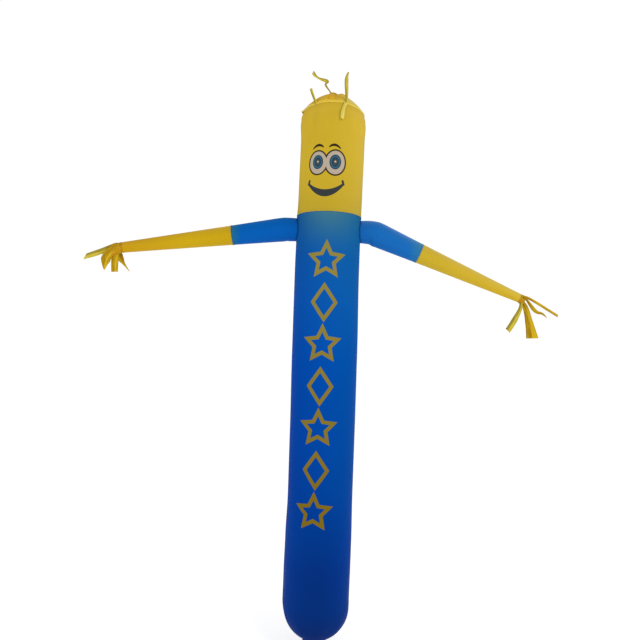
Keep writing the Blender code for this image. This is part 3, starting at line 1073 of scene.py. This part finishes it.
tieRibbons = (
    strip(180, 178, tiePitches, 0.179, tieWidths, (58, 96), 0.2, -0.5, shadedOlive, 0.06),
    strip(0, 354, (40, -4, -30, -34, -34), 0.052, (0.010, 0.012, 0.008), (40, 70), 0.1, 0.4, bunch),
)
capFolds = (  # turn, half width as an angle, where it runs from the middle outwards, depth
    (-158, 7, 0.10, 0.80, 0.0040),
    (-137, 6, 0.12, 0.62, 0.0034),
    (-118, 5, 0.10, 0.88, 0.0036),
    (-99, 6, 0.12, 0.70, 0.0030),
    (-81, 5, 0.10, 0.92, 0.0038),
    (-63, 6, 0.12, 0.66, 0.0034),
    (-44, 6, 0.10, 0.86, 0.0036),
    (-22, 7, 0.12, 0.74, 0.0032),
    (4, 7, 0.10, 0.84, 0.0036),
    (31, 6, 0.12, 0.66, 0.0032),
    (58, 7, 0.10, 0.88, 0.0036),
    (87, 6, 0.12, 0.72, 0.0030),
    (115, 7, 0.10, 0.84, 0.0036),
    (146, 6, 0.12, 0.68, 0.0032),
    (174, 6, 0.10, 0.82, 0.0034),
)


def outward(turn):
    return Vector((cos(turn), sin(turn), 0))


def capPoint(turn, share, foot):
    pinch = crown["pinch"] * sin(pi * min(1.0, (1 - share) * crown["pinchWithin"]))
    drop = 0.0
    for at, halfWidth, start, end, depth in capFolds:
        off = wrapped(turn - radians(at)) / radians(halfWidth)
        if abs(off) < crown["foldReach"]:
            run = smooth((share - start) / crown["foldStart"])
            run *= 1 - smooth((share - end + crown["foldEnd"]) / crown["foldEnd"])
            drop += depth * (1 - crown["foldRidge"] * off * off) * exp(-off * off) * run
    radius = solidRadius(turn, tube["crown"]) * share + pinch * uneven(turn, crown["pinchFolds"])
    drift = waists[-1][2]
    point = outward(turn) * radius
    point.x += drift + (crown["tie"] - drift) * (1 - share) ** 2 * crown["capDrift"]
    point.z = foot + crown["capRise"] * (1 - share * share) - drop
    point.z += seamShift(turn, tube["crown"]) * share * share
    for x, y, reach, rise in crown["humps"]:
        point.z += rise * hump(hypot(point.x - x, point.y - y), reach)
    return point


def buildCap():
    foot, count = tube["crown"] + crown["band"] + tube["seamGap"] / 2, crown["capRings"]
    turns = evenTurns(crown["capTurns"])
    shares = [1 - crown["capSpread"] * (k / count) ** crown["capEasing"] for k in range(count + 1)]
    bm = bmesh.new()
    rings = [[capPoint(turn, share, foot) for turn in turns] for share in shares]
    addRings(bm, rings, capPoint(0, crown["capTip"], foot))
    cap = meshObject("crownCap", bm, capMaterial)
    unroll(cap.data, [(vertex.co.x, vertex.co.y, inf) for vertex in cap.data.vertices])
    return dressed(thickened(cap), "yellow_cloth", "crown_cap")


cap = buildCap()


def addRibbon(bm, root, rootRun, rootSide, row, places):
    # one cut strip, which turns from its root's lie into its own
    sections, across = ribbonCut["sections"], ribbonCut["across"]
    level = outward(radians(row.toward))
    beside = Vector((-level.y, level.x, 0))
    point, lastSide = root.copy(), rootSide
    lit = -1 if row.pleat < 0 else 1
    loops = []
    for step in range(sections + 1):
        share = step / sections
        pitch, roll = radians(atShare(row.pitches, share)), radians(atShare(row.rolls, share))
        ownRun = level * cos(pitch) + Vector((0, 0, sin(pitch)))
        ownSide = beside * cos(roll) + ownRun.cross(beside) * sin(roll)
        if ownSide.dot(lastSide) < 0:
            ownSide = -ownSide
        turned = smooth(share / row.settled)
        run = rootRun.lerp(ownRun, turned).normalized()
        side = rootSide.lerp(ownSide, turned)
        side = (side - run * side.dot(run)).normalized()
        lastSide = side
        if step:
            point = point + run * row.length / sections
        normal, width = run.cross(side), atShare(row.widths, share)
        cup = width * ribbonCut["cup"] * sin(pi * min(1.0, share * ribbonCut["cupEnd"]))
        cup *= cos(ribbonCut["cupWaves"] * share + row.toward)
        fold = width * row.pleat * smooth(share * ribbonCut["pleatStart"])
        loop = []
        for place in across:
            off = place * width / 2
            lift = cup * (0.5 - place * place) - fold * (abs(place) - 0.5)
            cut = run * row.slant * off * share ** ribbonCut["slantPower"]
            vertex = bm.verts.new(point + side * off + normal * lift + cut)
            places[vertex] = (lit * off, share * row.length)
            loop.append(vertex)
        loops.append(loop)
    for first, second in zip(loops, loops[1:]):
        for here in range(len(across) - 1):
            quad = bm.faces.new((first[here], first[here + 1], second[here + 1], second[here]))
            quad.material_index = row.cloth


def bandOf(turns, rings, radius, cloth, foot=0.0, tip=None):
    # the ring that strips are cut from, and the flat places of its vertices
    bm, places = bmesh.new(), {}
    for loop in addRings(bm, rings, tip):
        for turn, vertex in zip(turns, loop):
            places[vertex] = (turn * radius, vertex.co.z - foot)
    for quad in bm.faces:
        quad.material_index = cloth
    return bm, places


def finishStrips(name, node, bm, places):
    bm.verts.index_update()
    flat = {vertex.index: (*place, inf) for vertex, place in places.items()}
    made = meshObject(name, bm, *ribbonCloths)
    unroll(made.data, flat)
    return dressed(thickened(made, False), "yellow_cloth", node)


def buildCrownFringe():
    base, turns = tube["crown"] + tube["seamGap"] / 2, evenTurns(crown["bandTurns"])
    rings = []
    for share, proud in crown["bandShape"]:
        height = base + (crown["band"] - tube["seamGap"]) * share
        ring = []
        for turn in turns:
            ear = crown["ear"] * hump(turn - radians(crown["earTurn"]), radians(crown["earReach"]))
            swell = sin(pi * min(1.0, share * crown["earSwell"] + crown["earStart"]))
            ear *= crown["earLeast"] + (1 - crown["earLeast"]) * swell
            radius = solidRadius(turn, tube["crown"]) + ear + proud * tube["hemProud"]
            ring.append(tubePoint(turn, height, radius))
        rings.append(ring)
    bm, places = bandOf(turns, rings, crown["bandRadius"], tape)
    for row in crownRibbons:
        turn = radians(row.turn)
        out, beside = outward(turn), Vector((-sin(turn), cos(turn), 0))
        upward = 1 if row.pitches[0] > 0 else -1
        root = out * (solidRadius(turn, tube["crown"]) + crown["ribbonProud"])
        root.x += waists[-1][2]
        root.z = base + crown["band"] * (0.5 - upward * crown["ribbonAt"]) + seamShift(turn, tube["crown"])
        lean = Vector((0, 0, upward)) + out * (crown["leanUp"] if upward > 0 else crown["leanDown"])
        addRibbon(bm, root, lean, beside, row, places)
    return finishStrips("crownFringe", "crown_fringe", bm, places)


def buildCrownTie():
    foot = tube["crown"] + crown["band"] + crown["capRise"] + tube["seamGap"] * 1.5
    turns = evenTurns(crown["tieTurns"])

    def tiePoint(share):
        return Vector((crown["tie"], 0, foot + crown["tieHeight"] * share))

    rings = []
    for share in crown["tieShares"]:
        waist = crown["tieFoot"] + (crown["tieTop"] - crown["tieFoot"]) * smooth(share * crown["tieEasing"])
        pleat = crown["pleatDepth"] * (1 - crown["pleatFade"] * share)
        ring = []
        for turn in turns:
            radius = waist + pleat * sin(crown["pleats"] * turn + crown["pleatWaver"] * sin(turn))
            ring.append(tiePoint(share) + outward(turn) * radius)
        rings.append(ring)
    bm, places = bandOf(turns, rings, crown["tieRadius"], plain, foot, tiePoint(crown["tieTip"]))
    for vertex in bm.verts:
        places.setdefault(vertex, (0.0, crown["tieHeight"]))
    for row, lean in zip(tieRibbons, crown["tieLeans"]):
        addRibbon(bm, tiePoint(crown["tieRoot"]), Vector(lean).normalized(), Vector((0, 1, 0)), row, places)
    return finishStrips("crownTie", "crown_tie", bm, places)


crownFringe = buildCrownFringe()
crownTie = buildCrownTie()
print("crown done")

# each sleeve leaves the body level and droops along its first stretch
sleeves = {
    "Left": {
        "side": -1,
        "droop": 8.4,
        "crease": 0.002,
        "girths": ((0.0, 0.0615), (0.060, 0.0645), (0.345, 0.0520), (0.937, 0.0285)),  # distance, radius
        "upperFlat": (0.40, 0.345),
        "lowerFlat": (0.33, 0.592, 0.150),  # width, length, area
        "handFlat": (0.18, 0.20, 0.0220),
        "folds": (  # distance, turn, lean, half width, half length, depth
            (0.020, 200, 60, 0.007, 0.030, 0.0014),
            (0.024, 160, -60, 0.007, 0.030, 0.0013),
            (0.050, 262, 8, 0.010, 0.020, 0.0020),
            (0.086, 236, 20, 0.014, 0.026, 0.0012),
            (0.200, 130, 75, 0.012, 0.070, 0.0008),
            (0.322, 196, 84, 0.006, 0.024, 0.0010),
            (0.366, 150, 86, 0.006, 0.026, 0.0009),
            (0.560, 170, 82, 0.010, 0.090, 0.0006),
            (0.760, 215, 80, 0.008, 0.080, 0.0006),
            (0.905, 185, 86, 0.004, 0.030, 0.0009),
            (0.900, 235, 84, 0.004, 0.026, 0.0008),
        ),
    },
    "Right": {
        "side": 1,
        "droop": 22.0,
        "crease": 0.003,
        "girths": ((0.0, 0.0595), (0.080, 0.0675), (0.337, 0.0530), (0.925, 0.0235)),
        "upperFlat": (0.40, 0.337),
        "lowerFlat": (0.33, 0.588, 0.144),
        "handFlat": (0.15, 0.25, 0.0225),
        "folds": (
            (0.018, 198, 58, 0.007, 0.032, 0.0015),
            (0.022, 160, -58, 0.007, 0.030, 0.0013),
            (0.085, 200, 5, 0.0040, 0.015, 0.0068),
            (0.060, 250, 12, 0.008, 0.026, 0.0016),
            (0.118, 244, -10, 0.009, 0.024, 0.0016),
            (0.190, 140, 76, 0.012, 0.070, 0.0008),
            (0.318, 190, 85, 0.006, 0.024, 0.0010),
            (0.360, 160, 84, 0.006, 0.028, 0.0010),
            (0.560, 175, 83, 0.010, 0.090, 0.0006),
            (0.780, 205, 82, 0.007, 0.080, 0.0006),
            (0.892, 180, 86, 0.004, 0.030, 0.0009),
            (0.888, 228, 85, 0.004, 0.026, 0.0008),
        ),
    },
}
sleeve = {
    "bendLength": 0.118,
    "pathSteps": 60,
    "wall": 0.175,
    "creaseAt": 0.45,  # of the bend
    "creaseReach": 0.020,
    "rootGap": 0.0004,
    "rootSpare": 0.0003,
    "rootReach": 0.022,
    "sides": 72,
    "handSides": 40,
    "handInset": 0.001,
    "hemWidth": 0.007,
    "hemEdge": 0.0012,
    "hemProud": 0.0007,
    "gathering": {"Gathers": 13, "Gather depth": 0.0006, "Gather reach": 0.022},
    "step": 0.0075,
}


def sleevePoint(make, distance):
    side, steps = make["side"], sleeve["pathSteps"]
    point, direction = Vector((side * sleeve["wall"], 0, tube["shoulder"])), Vector((side, 0, 0))
    for k in range(steps):
        droop = radians(make["droop"]) * smooth(distance * (k + 0.5) / steps / sleeve["bendLength"])
        direction = Vector((side * cos(droop), 0, -sin(droop)))
        point = point + direction * distance / steps
    return point, direction


def sleeveFrame(make, distance):
    centre, direction = sleevePoint(make, distance)
    across = Vector((0, 1, 0))
    upward = direction.cross(across)
    return centre, across, upward if upward.z > 0 else -upward


def around(lie, turn, radius):
    centre, across, upward = lie
    return centre + (across * cos(turn) + upward * sin(turn)) * radius


def girthAt(make, distance):
    for (low, radius), (high, radiusBeyond) in zip(make["girths"], make["girths"][1:]):
        if distance <= high:
            return radius + (radiusBeyond - radius) * (distance - low) / (high - low)
    return make["girths"][-1][1]


def rootPoint(make, turn, radius):
    return onBody(make["side"], radius * cos(turn), tube["shoulder"] + radius * sin(turn), sleeve["rootGap"])


def newTree(name, source, inputs, result):
    # inputs are the names, kind by kind, of what the tree takes besides its source of edges
    tree = bpy.data.node_groups.new(name, "GeometryNodeTree")
    for kind, sockets in ({"Geometry": (source,)} | inputs).items():
        for socket in sockets:
            tree.interface.new_socket(socket, in_out="INPUT", socket_type="NodeSocket" + kind)
    tree.interface.new_socket(result, in_out="OUTPUT", socket_type="NodeSocketGeometry")
    return tree, Wire(tree).node("NodeGroupInput")


def closeTree(shaped, result, material):
    shaped = shaped.node("GeometryNodeRealizeInstances", {"Geometry": shaped})
    shaped = shaped.node("GeometryNodeSetShadeSmooth", {"Geometry": shaped})
    shaped = shaped.node("GeometryNodeSetMaterial", {"Geometry": shaped, "Material": material})
    shaped.node("NodeGroupOutput", {result: shaped})


# the tree that sweeps a ring of cloth along a path, wider or narrower with its girth, gathered at both ends
def sweepTree():
    inputs = {"Int": ("Sides", "Gathers"), "Float": ("Gather depth", "Gather reach"), "Material": ("Cloth",)}
    tree, given = newTree("clothSweep", "Path", inputs, "Sleeve")

    def stored(shape, name, value):
        values = {"Geometry": shape, "Name": name, "Value": value}
        return given.node("GeometryNodeStoreNamedAttribute", values, data_type="FLOAT", domain="POINT")

    def named(name):
        return given.node("GeometryNodeInputNamedAttribute", {"Name": name}, data_type="FLOAT")

    path = given.node("GeometryNodeMeshToCurve", {"Mesh": given})
    path = stored(path, "along", given.node("GeometryNodeSplineParameter", output="Length"))
    path = given.node("GeometryNodeSetCurveNormal", {"Curve": path}, mode="Z_UP")
    ring = given.node("GeometryNodeCurvePrimitiveCircle", {"Resolution": given.other("Sides"), "Radius": 1.0})
    ring = stored(ring, "round", given.node("GeometryNodeSplineParameter", output="Factor"))
    swept = {"Curve": path, "Profile Curve": ring, "Scale": named("girth")}
    swept = given.node("GeometryNodeCurveToMesh", swept)
    whole, here = given.node("GeometryNodeCurveLength", {"Curve": path}), named("along")
    fade = (-(here.least(whole - here) / given.other("Gather reach"))).maths("EXPONENT")
    angle, folds = named("round") * (2 * pi), given.other("Gathers")
    (strong, start), (weak, weakStart) = waves
    wave = (angle * folds + start).maths("COSINE") * strong
    wave = wave + (angle * (folds - 4.0) + weakStart).maths("COSINE") * weak
    push = given.node("GeometryNodeInputNormal").scaled(wave * fade * given.other("Gather depth"))
    swept = given.node("GeometryNodeSetPosition", {"Geometry": swept, "Offset": push})
    closeTree(swept, "Sleeve", given.other("Cloth"))
    return tree


# the tree that lays short threads end to end along a row
def stitchTree():
    inputs = {"Float": ("Pitch", "Stitch length", "Thread radius"), "Int": ("Seed",), "Material": ("Thread",)}
    tree, given = newTree("stitchRow", "Row", inputs, "Stitches")
    row = given.node("GeometryNodeMeshToCurve", {"Mesh": given})
    spacing = {"Curve": row, "Length": given.other("Pitch")}
    row = given.node("GeometryNodeResampleCurve", spacing, mode="LENGTH")
    tangent = given.node("GeometryNodeInputTangent")
    lie = given.node("FunctionNodeAlignRotationToVector", {"Vector": tangent}, axis="Z")
    jitter = {2: 0.9, 3: 1.1, "Seed": given.other("Seed")}
    stretch = given.node("FunctionNodeRandomValue", jitter, 1, data_type="FLOAT")
    radius = given.other("Thread radius")
    scale = radius.joined(radius, given.other("Stitch length") * 0.5 * stretch)
    thread = given.node("GeometryNodeMeshUVSphere", {"Segments": 6, "Rings": 4, "Radius": 1.0})
    laid = {"Points": row, "Instance": thread, "Rotation": lie, "Scale": scale}
    closeTree(given.node("GeometryNodeInstanceOnPoints", laid), "Stitches", given.other("Thread"))
    return tree


def grown(name, carrier, tree, values):
    # runs a tree on a carrier of edges and gives the plain mesh that comes out
    modifier = carrier.modifiers.new(tree.name, "NODES")
    modifier.node_group = tree
    for item in tree.interface.items_tree:
        if item.item_type == "SOCKET" and item.name in values:
            modifier[item.identifier] = values[item.name]
    bpy.context.view_layer.update()
    seen = carrier.evaluated_get(bpy.context.evaluated_depsgraph_get())
    mesh = bpy.data.meshes.new_from_object(seen)
    carrier.modifiers.remove(modifier)
    bpy.data.objects.remove(carrier)
    mesh.name = name
    return linked(name, mesh)


def edgeCarrier(rows):
    # rows of points, each closed or open, as loose edges
    bm = bmesh.new()
    for points, closed in rows:
        spots = [bm.verts.new(point) for point in points]
        for here, there in zip(spots, spots[1:]):
            bm.edges.new((here, there))
        if closed:
            bm.edges.new((spots[-1], spots[0]))
    mesh = bpy.data.meshes.new("carrier")
    bm.to_mesh(mesh)
    bm.free()
    return linked("carrier", mesh)


clothSweep, stitchRow = sweepTree(), stitchTree()


def shapeSleeve(mesh, make, start, rooted):
    # the listed folds, the crease under the bend, and the root drawn onto the body; then the UV map
    reach = [item.value for item in mesh.attributes["along"].data]
    far = sleeve["rootReach"]
    frames, flat = {}, []
    for vertex in mesh.vertices:
        distance = start + reach[vertex.index]
        key = round(distance, 5)
        if key not in frames:
            frames[key] = sleeveFrame(make, distance)
        centre, across, upward = frames[key]
        off = vertex.co - centre
        turn, radius = atan2(off.dot(upward), off.dot(across)), off.length
        girth = radius
        for at, foldTurn, *fold in make["folds"]:
            radius -= foldDepth(distance - at, wrapped(turn - radians(foldTurn)) * girth, *fold)
        crease = hump(distance - sleeve["creaseAt"] * sleeve["bendLength"], sleeve["creaseReach"])
        radius -= make["crease"] * crease * max(0.0, -sin(turn)) ** 2
        point = around(frames[key], turn, radius)
        if rooted and distance < far:
            near = rootPoint(make, turn, make["girths"][0][1] + sleeve["rootSpare"])
            end = around(sleeveFrame(make, far), turn, girthAt(make, far) + (radius - girth))
            point = near.lerp(end, distance / far)
        vertex.co = point
        flat.append((wrapped(turn - pi / 2) * girth, distance, 2 * pi * girth))
    unroll(mesh, flat)
    for name in ("along", "round", "girth"):
        if name in mesh.attributes:
            mesh.attributes.remove(mesh.attributes[name])
    bm = bmesh.new()
    bm.from_mesh(mesh)
    intoMesh(bm, mesh)


def sweptSleeve(name, make, low, high, hems, rooted, material, sides=sleeve["sides"]):
    # hems says whether the cloth is turned in at its low and at its high end
    width = sleeve["hemWidth"]
    edge = width + sleeve["hemEdge"]
    marks = [low + width, low + edge] if hems[0] else []
    marks += [high - edge, high - width] if hems[1] else []
    points, girths = [], []
    for place in stations(low, (sleeve["step"], *marks, high)):
        points.append(sleevePoint(make, place)[0])
        nearLow = hems[0] and place <= low + width + spare
        nearHigh = hems[1] and place >= high - width - spare
        girths.append(girthAt(make, place) + (sleeve["hemProud"] if nearLow or nearHigh else 0.0))
    carrier = edgeCarrier([(points, False)])
    attribute = carrier.data.attributes.new("girth", "FLOAT", "POINT")
    for item, girth in zip(attribute.data, girths):
        item.value = girth
    made = grown(name, carrier, clothSweep, {"Sides": sides, "Cloth": material} | sleeve["gathering"])
    shapeSleeve(made.data, make, low, rooted)
    return made


def buildHand(name, node, make, ribbons):
    start = make["girths"][-1][0] + tube["seamGap"]
    end = start + crown["band"]
    sides = sleeve["handSides"]
    band = sweptSleeve(name + "Band", make, start, end, (False, False), False, ribbonCloths[bunch], sides)
    bm, places = bmesh.new(), {}
    bm.from_mesh(band.data)
    layer = bm.loops.layers.uv.active
    for quad in bm.faces:
        quad.material_index = bunch
        for loop in quad.loops:
            places[loop.vert] = tuple(loop[layer].uv)
    bm.loops.layers.uv.remove(layer)
    lie = sleeveFrame(make, end - crown["band"] / 3)
    direction = sleevePoint(make, end)[1]
    for row in ribbons:
        turn = radians(row.turn)
        root = around(lie, turn, make["girths"][-1][1] - sleeve["handInset"])
        beside = lie[2] * cos(turn) - lie[1] * sin(turn)
        addRibbon(bm, root, direction, beside, row, places)
    bpy.data.objects.remove(band)
    return finishStrips(name, node, bm, places)


trailing = (-20, -32, -50, -54, -50, -38, -4, -36, -46)
trailWidths = (0.012, 0.013, 0.015, 0.019, 0.022, 0.019, 0.015, 0.010, 0.003)
backWidths = (0.020, 0.036, 0.034, 0.016, 0.008, 0.003)
wideWidths = (0.026, 0.038, 0.044, 0.054, 0.068)
hookWidths, longWidths = (0.016, 0.024, 0.031, 0.029), (0.022, 0.029, 0.030, 0.026)
handRibbons = {
    "Left": (
        strip(146, 181, (-30, -26, -21, -17), 0.199, longWidths, (50, 84), 0.06, 1.0, shadedOlive),
        strip(186, 190, (-18, -44, -74, -94), 0.160, (0.022, 0.048, 0.050, 0.005), (62, 80), 0.10, 0.3),
        strip(230, 184, (0, -84, -90, -92), 0.130, (0.024, 0.036, 0.034), (60, 88), 0.16, 0.0),
        strip(320, 170, (-10, -120, -130, -130), 0.140, backWidths, (60, 84), 0.14, 0.4, plain, 0.14),
        strip(196, 187, (-4, -26, -50), 0.062, (0.050, 0.058, 0.044), (80, 86), 0.16, 0.3, bunch, 0.5),
    ),
    "Right": (
        strip(118, 359, (-22, -29, -31, -29), 0.220, (0.016, 0.016, 0.015, 0.014), (66, 82), -0.14, 0.3),
        strip(50, 4, trailing, 0.193, trailWidths, (80, 88), 0.10, 0.3, plain, 0.12),
        strip(236, 344, (-82, -112, -118, -122), 0.176, hookWidths, (60, 86), -0.14, -0.2, shadedOlive, 0.10),
        strip(330, 2, (-16, -64, -77, -77, -76), 0.228, wideWidths, (60, 88), 0.16, 0.2, plain, 0.12),
        strip(200, 352, (-24, -44, -60), 0.022, (0.030, 0.026, 0.016), (80, 86), 0.16, 0.3, bunch, 0.5),
    ),
}

for label, make in sleeves.items():
    (seam, _), (wrist, _) = make["girths"][-2:]
    half, low = tube["seamGap"] / 2, label.lower()
    upper = sweptSleeve("upperSleeve" + label, make, 0.0, seam - half, (True, True), True, blueMaterial)
    dressed(thickened(upper), "blue_cloth", "upper_sleeve_" + low)
    lower = sweptSleeve("lowerSleeve" + label, make, seam + half, wrist, (True, False), False, yellowMaterial)
    dressed(thickened(lower), "yellow_cloth", "lower_sleeve_" + low)
    hand = buildHand("handFringe" + label, "hand_fringe_" + low, make, handRibbons[label])
print("sleeves done")

# sewing thread, a little paler than the cloth under it
stitch = {
    "threads": {"Pitch": 0.0062, "Stitch length": 0.0048, "Thread radius": 0.00050, "Seed": 5},
    "lift": 0.0003,
    "plyScale": 420.0,
    "plyProud": 0.0001,
    "plyDarkest": 0.85,
    "plyTone": 0.3,
    "neckOff": 0.0048,
    "collarRows": (0.021, 0.004),
    "tubeTurns": 180,
    "backOff": 0.0042,
    "backRadius": 0.175,
    "backStep": 0.02,
    "bodyBack": (0.30, 2.322),
    "headBack": (2.345, 2.885),
    "sleeveOff": 0.0045,
    "sleeveTurns": 60,
    "rootOff": 0.0042,
    "rootTurns": 72,
}


def threadMaterial(name, colour):
    def valuesOf(start):
        ply = start.node("ShaderNodeTexCoord", output="Object").noise(stitch["plyScale"], 1.0)
        shade = {0: colour[:3], "Scale": stitch["plyDarkest"] + ply * stitch["plyTone"]}
        return {
            "Base Color": start.node("ShaderNodeVectorMath", shade, operation="SCALE"),
            "Roughness": 0.6,
            "Normal": bumped(ply * stitch["plyProud"]),
            "Specular IOR Level": 0.2,
        }

    return newMaterial(name, valuesOf)


blueThread = threadMaterial("blueThread", paint(26, 94, 168))
yellowThread = threadMaterial("yellowThread", paint(214, 184, 70))


def sewn(name, rows, thread, slot):
    values = stitch["threads"] | {"Thread": thread}
    return dressed(grown(name, edgeCarrier(rows), stitchRow, values), slot)


def levelRow(height):
    return levelRing(evenTurns(stitch["tubeTurns"]), height, tube["hemProud"] + stitch["lift"]), True


def backRows(low, high):
    # one on either side of the felled seam
    rows = []
    for offset in (-stitch["backOff"], stitch["backOff"]):
        turn = pi / 2 + offset / stitch["backRadius"]
        heights = stations(low, (stitch["backStep"], high))
        rows.append(([tubePoint(turn, z, tubeRadius(turn, z) + stitch["lift"]) for z in heights], False))
    return rows


def rootRow(make):
    # on the body, just outside a sleeve's sewn end
    radius = make["girths"][0][1] + stitch["rootOff"]
    return [rootPoint(make, turn, radius) for turn in evenTurns(stitch["rootTurns"])], True


def sleeveRow(make, distance):
    lie = sleeveFrame(make, distance)
    radius = girthAt(make, distance) + sleeve["hemProud"] + stitch["lift"]
    return [around(lie, turn, radius) for turn in evenTurns(stitch["sleeveTurns"])], True


bodyRows = [levelRow(height) for height in (tube["neck"] - stitch["neckOff"], *stitch["collarRows"])]
bodyRows += backRows(*stitch["bodyBack"]) + [rootRow(make) for make in sleeves.values()]
sewn("bodyStitches", bodyRows, blueThread, "blue_cloth")
headRows = [levelRow(tube["neck"] + stitch["neckOff"])] + backRows(*stitch["headBack"])
sewn("headStitches", headRows, yellowThread, "yellow_cloth")
for label, make in sleeves.items():
    seam = make["girths"][-2][0]
    sewn("upperStitches" + label, [sleeveRow(make, seam - stitch["sleeveOff"])], blueThread, "blue_cloth")
    sewn("lowerStitches" + label, [sleeveRow(make, seam + stitch["sleeveOff"])], yellowThread, "yellow_cloth")
print("sewing done")

# plain pale floor and soft light
studio = {
    "floorSize": 60.0,
    "floorDrop": 0.0006,
    "floor": {
        "Base Color": (0.92, 0.92, 0.92, 1),
        "Roughness": 0.9,
        "Specular IOR Level": 0.0,
        "Emission Color": (1, 1, 1, 1),
        "Emission Strength": 0.50,
    },
    "around": 0.54,
    "seen": 1.02,
    "lampSize": 3.0,
    "lamps": (  # name, place, aim, watts
        ("key", (2.8, -3.6, 4.6), (0, 0, 1.7), 70.0),
        ("fill", (-3.4, -3.0, 3.2), (0, 0, 1.6), 30.0),
    ),
}


def buildStudio():
    bm = bmesh.new()
    bmesh.ops.create_grid(bm, x_segments=1, y_segments=1, size=studio["floorSize"] / 2)
    bmesh.ops.translate(bm, verts=bm.verts, vec=(0, 0, -studio["floorDrop"]))
    floor = meshObject("floor", bm, newMaterial("paleFloor", lambda start: studio["floor"]))
    world = bpy.data.worlds.new("studio")
    bpy.context.scene.world = world
    start = emptied(world)
    seen = start.node("ShaderNodeLightPath", output="Is Camera Ray")
    strength = studio["around"] + seen * (studio["seen"] - studio["around"])
    sky = start.node("ShaderNodeBackground", {"Color": (1, 1, 1, 1), "Strength": strength})
    start.node("ShaderNodeOutputWorld", {"Surface": sky})
    for name, place, aim, power in studio["lamps"]:
        lamp = bpy.data.lights.new(name, "AREA")
        lamp.shape, lamp.size, lamp.energy = "DISK", studio["lampSize"], power
        holder = linked(name, lamp)
        holder.location = place
        holder.rotation_euler = (Vector(aim) - Vector(place)).to_track_quat("-Z", "Y").to_euler()


buildStudio()
print("studio done")
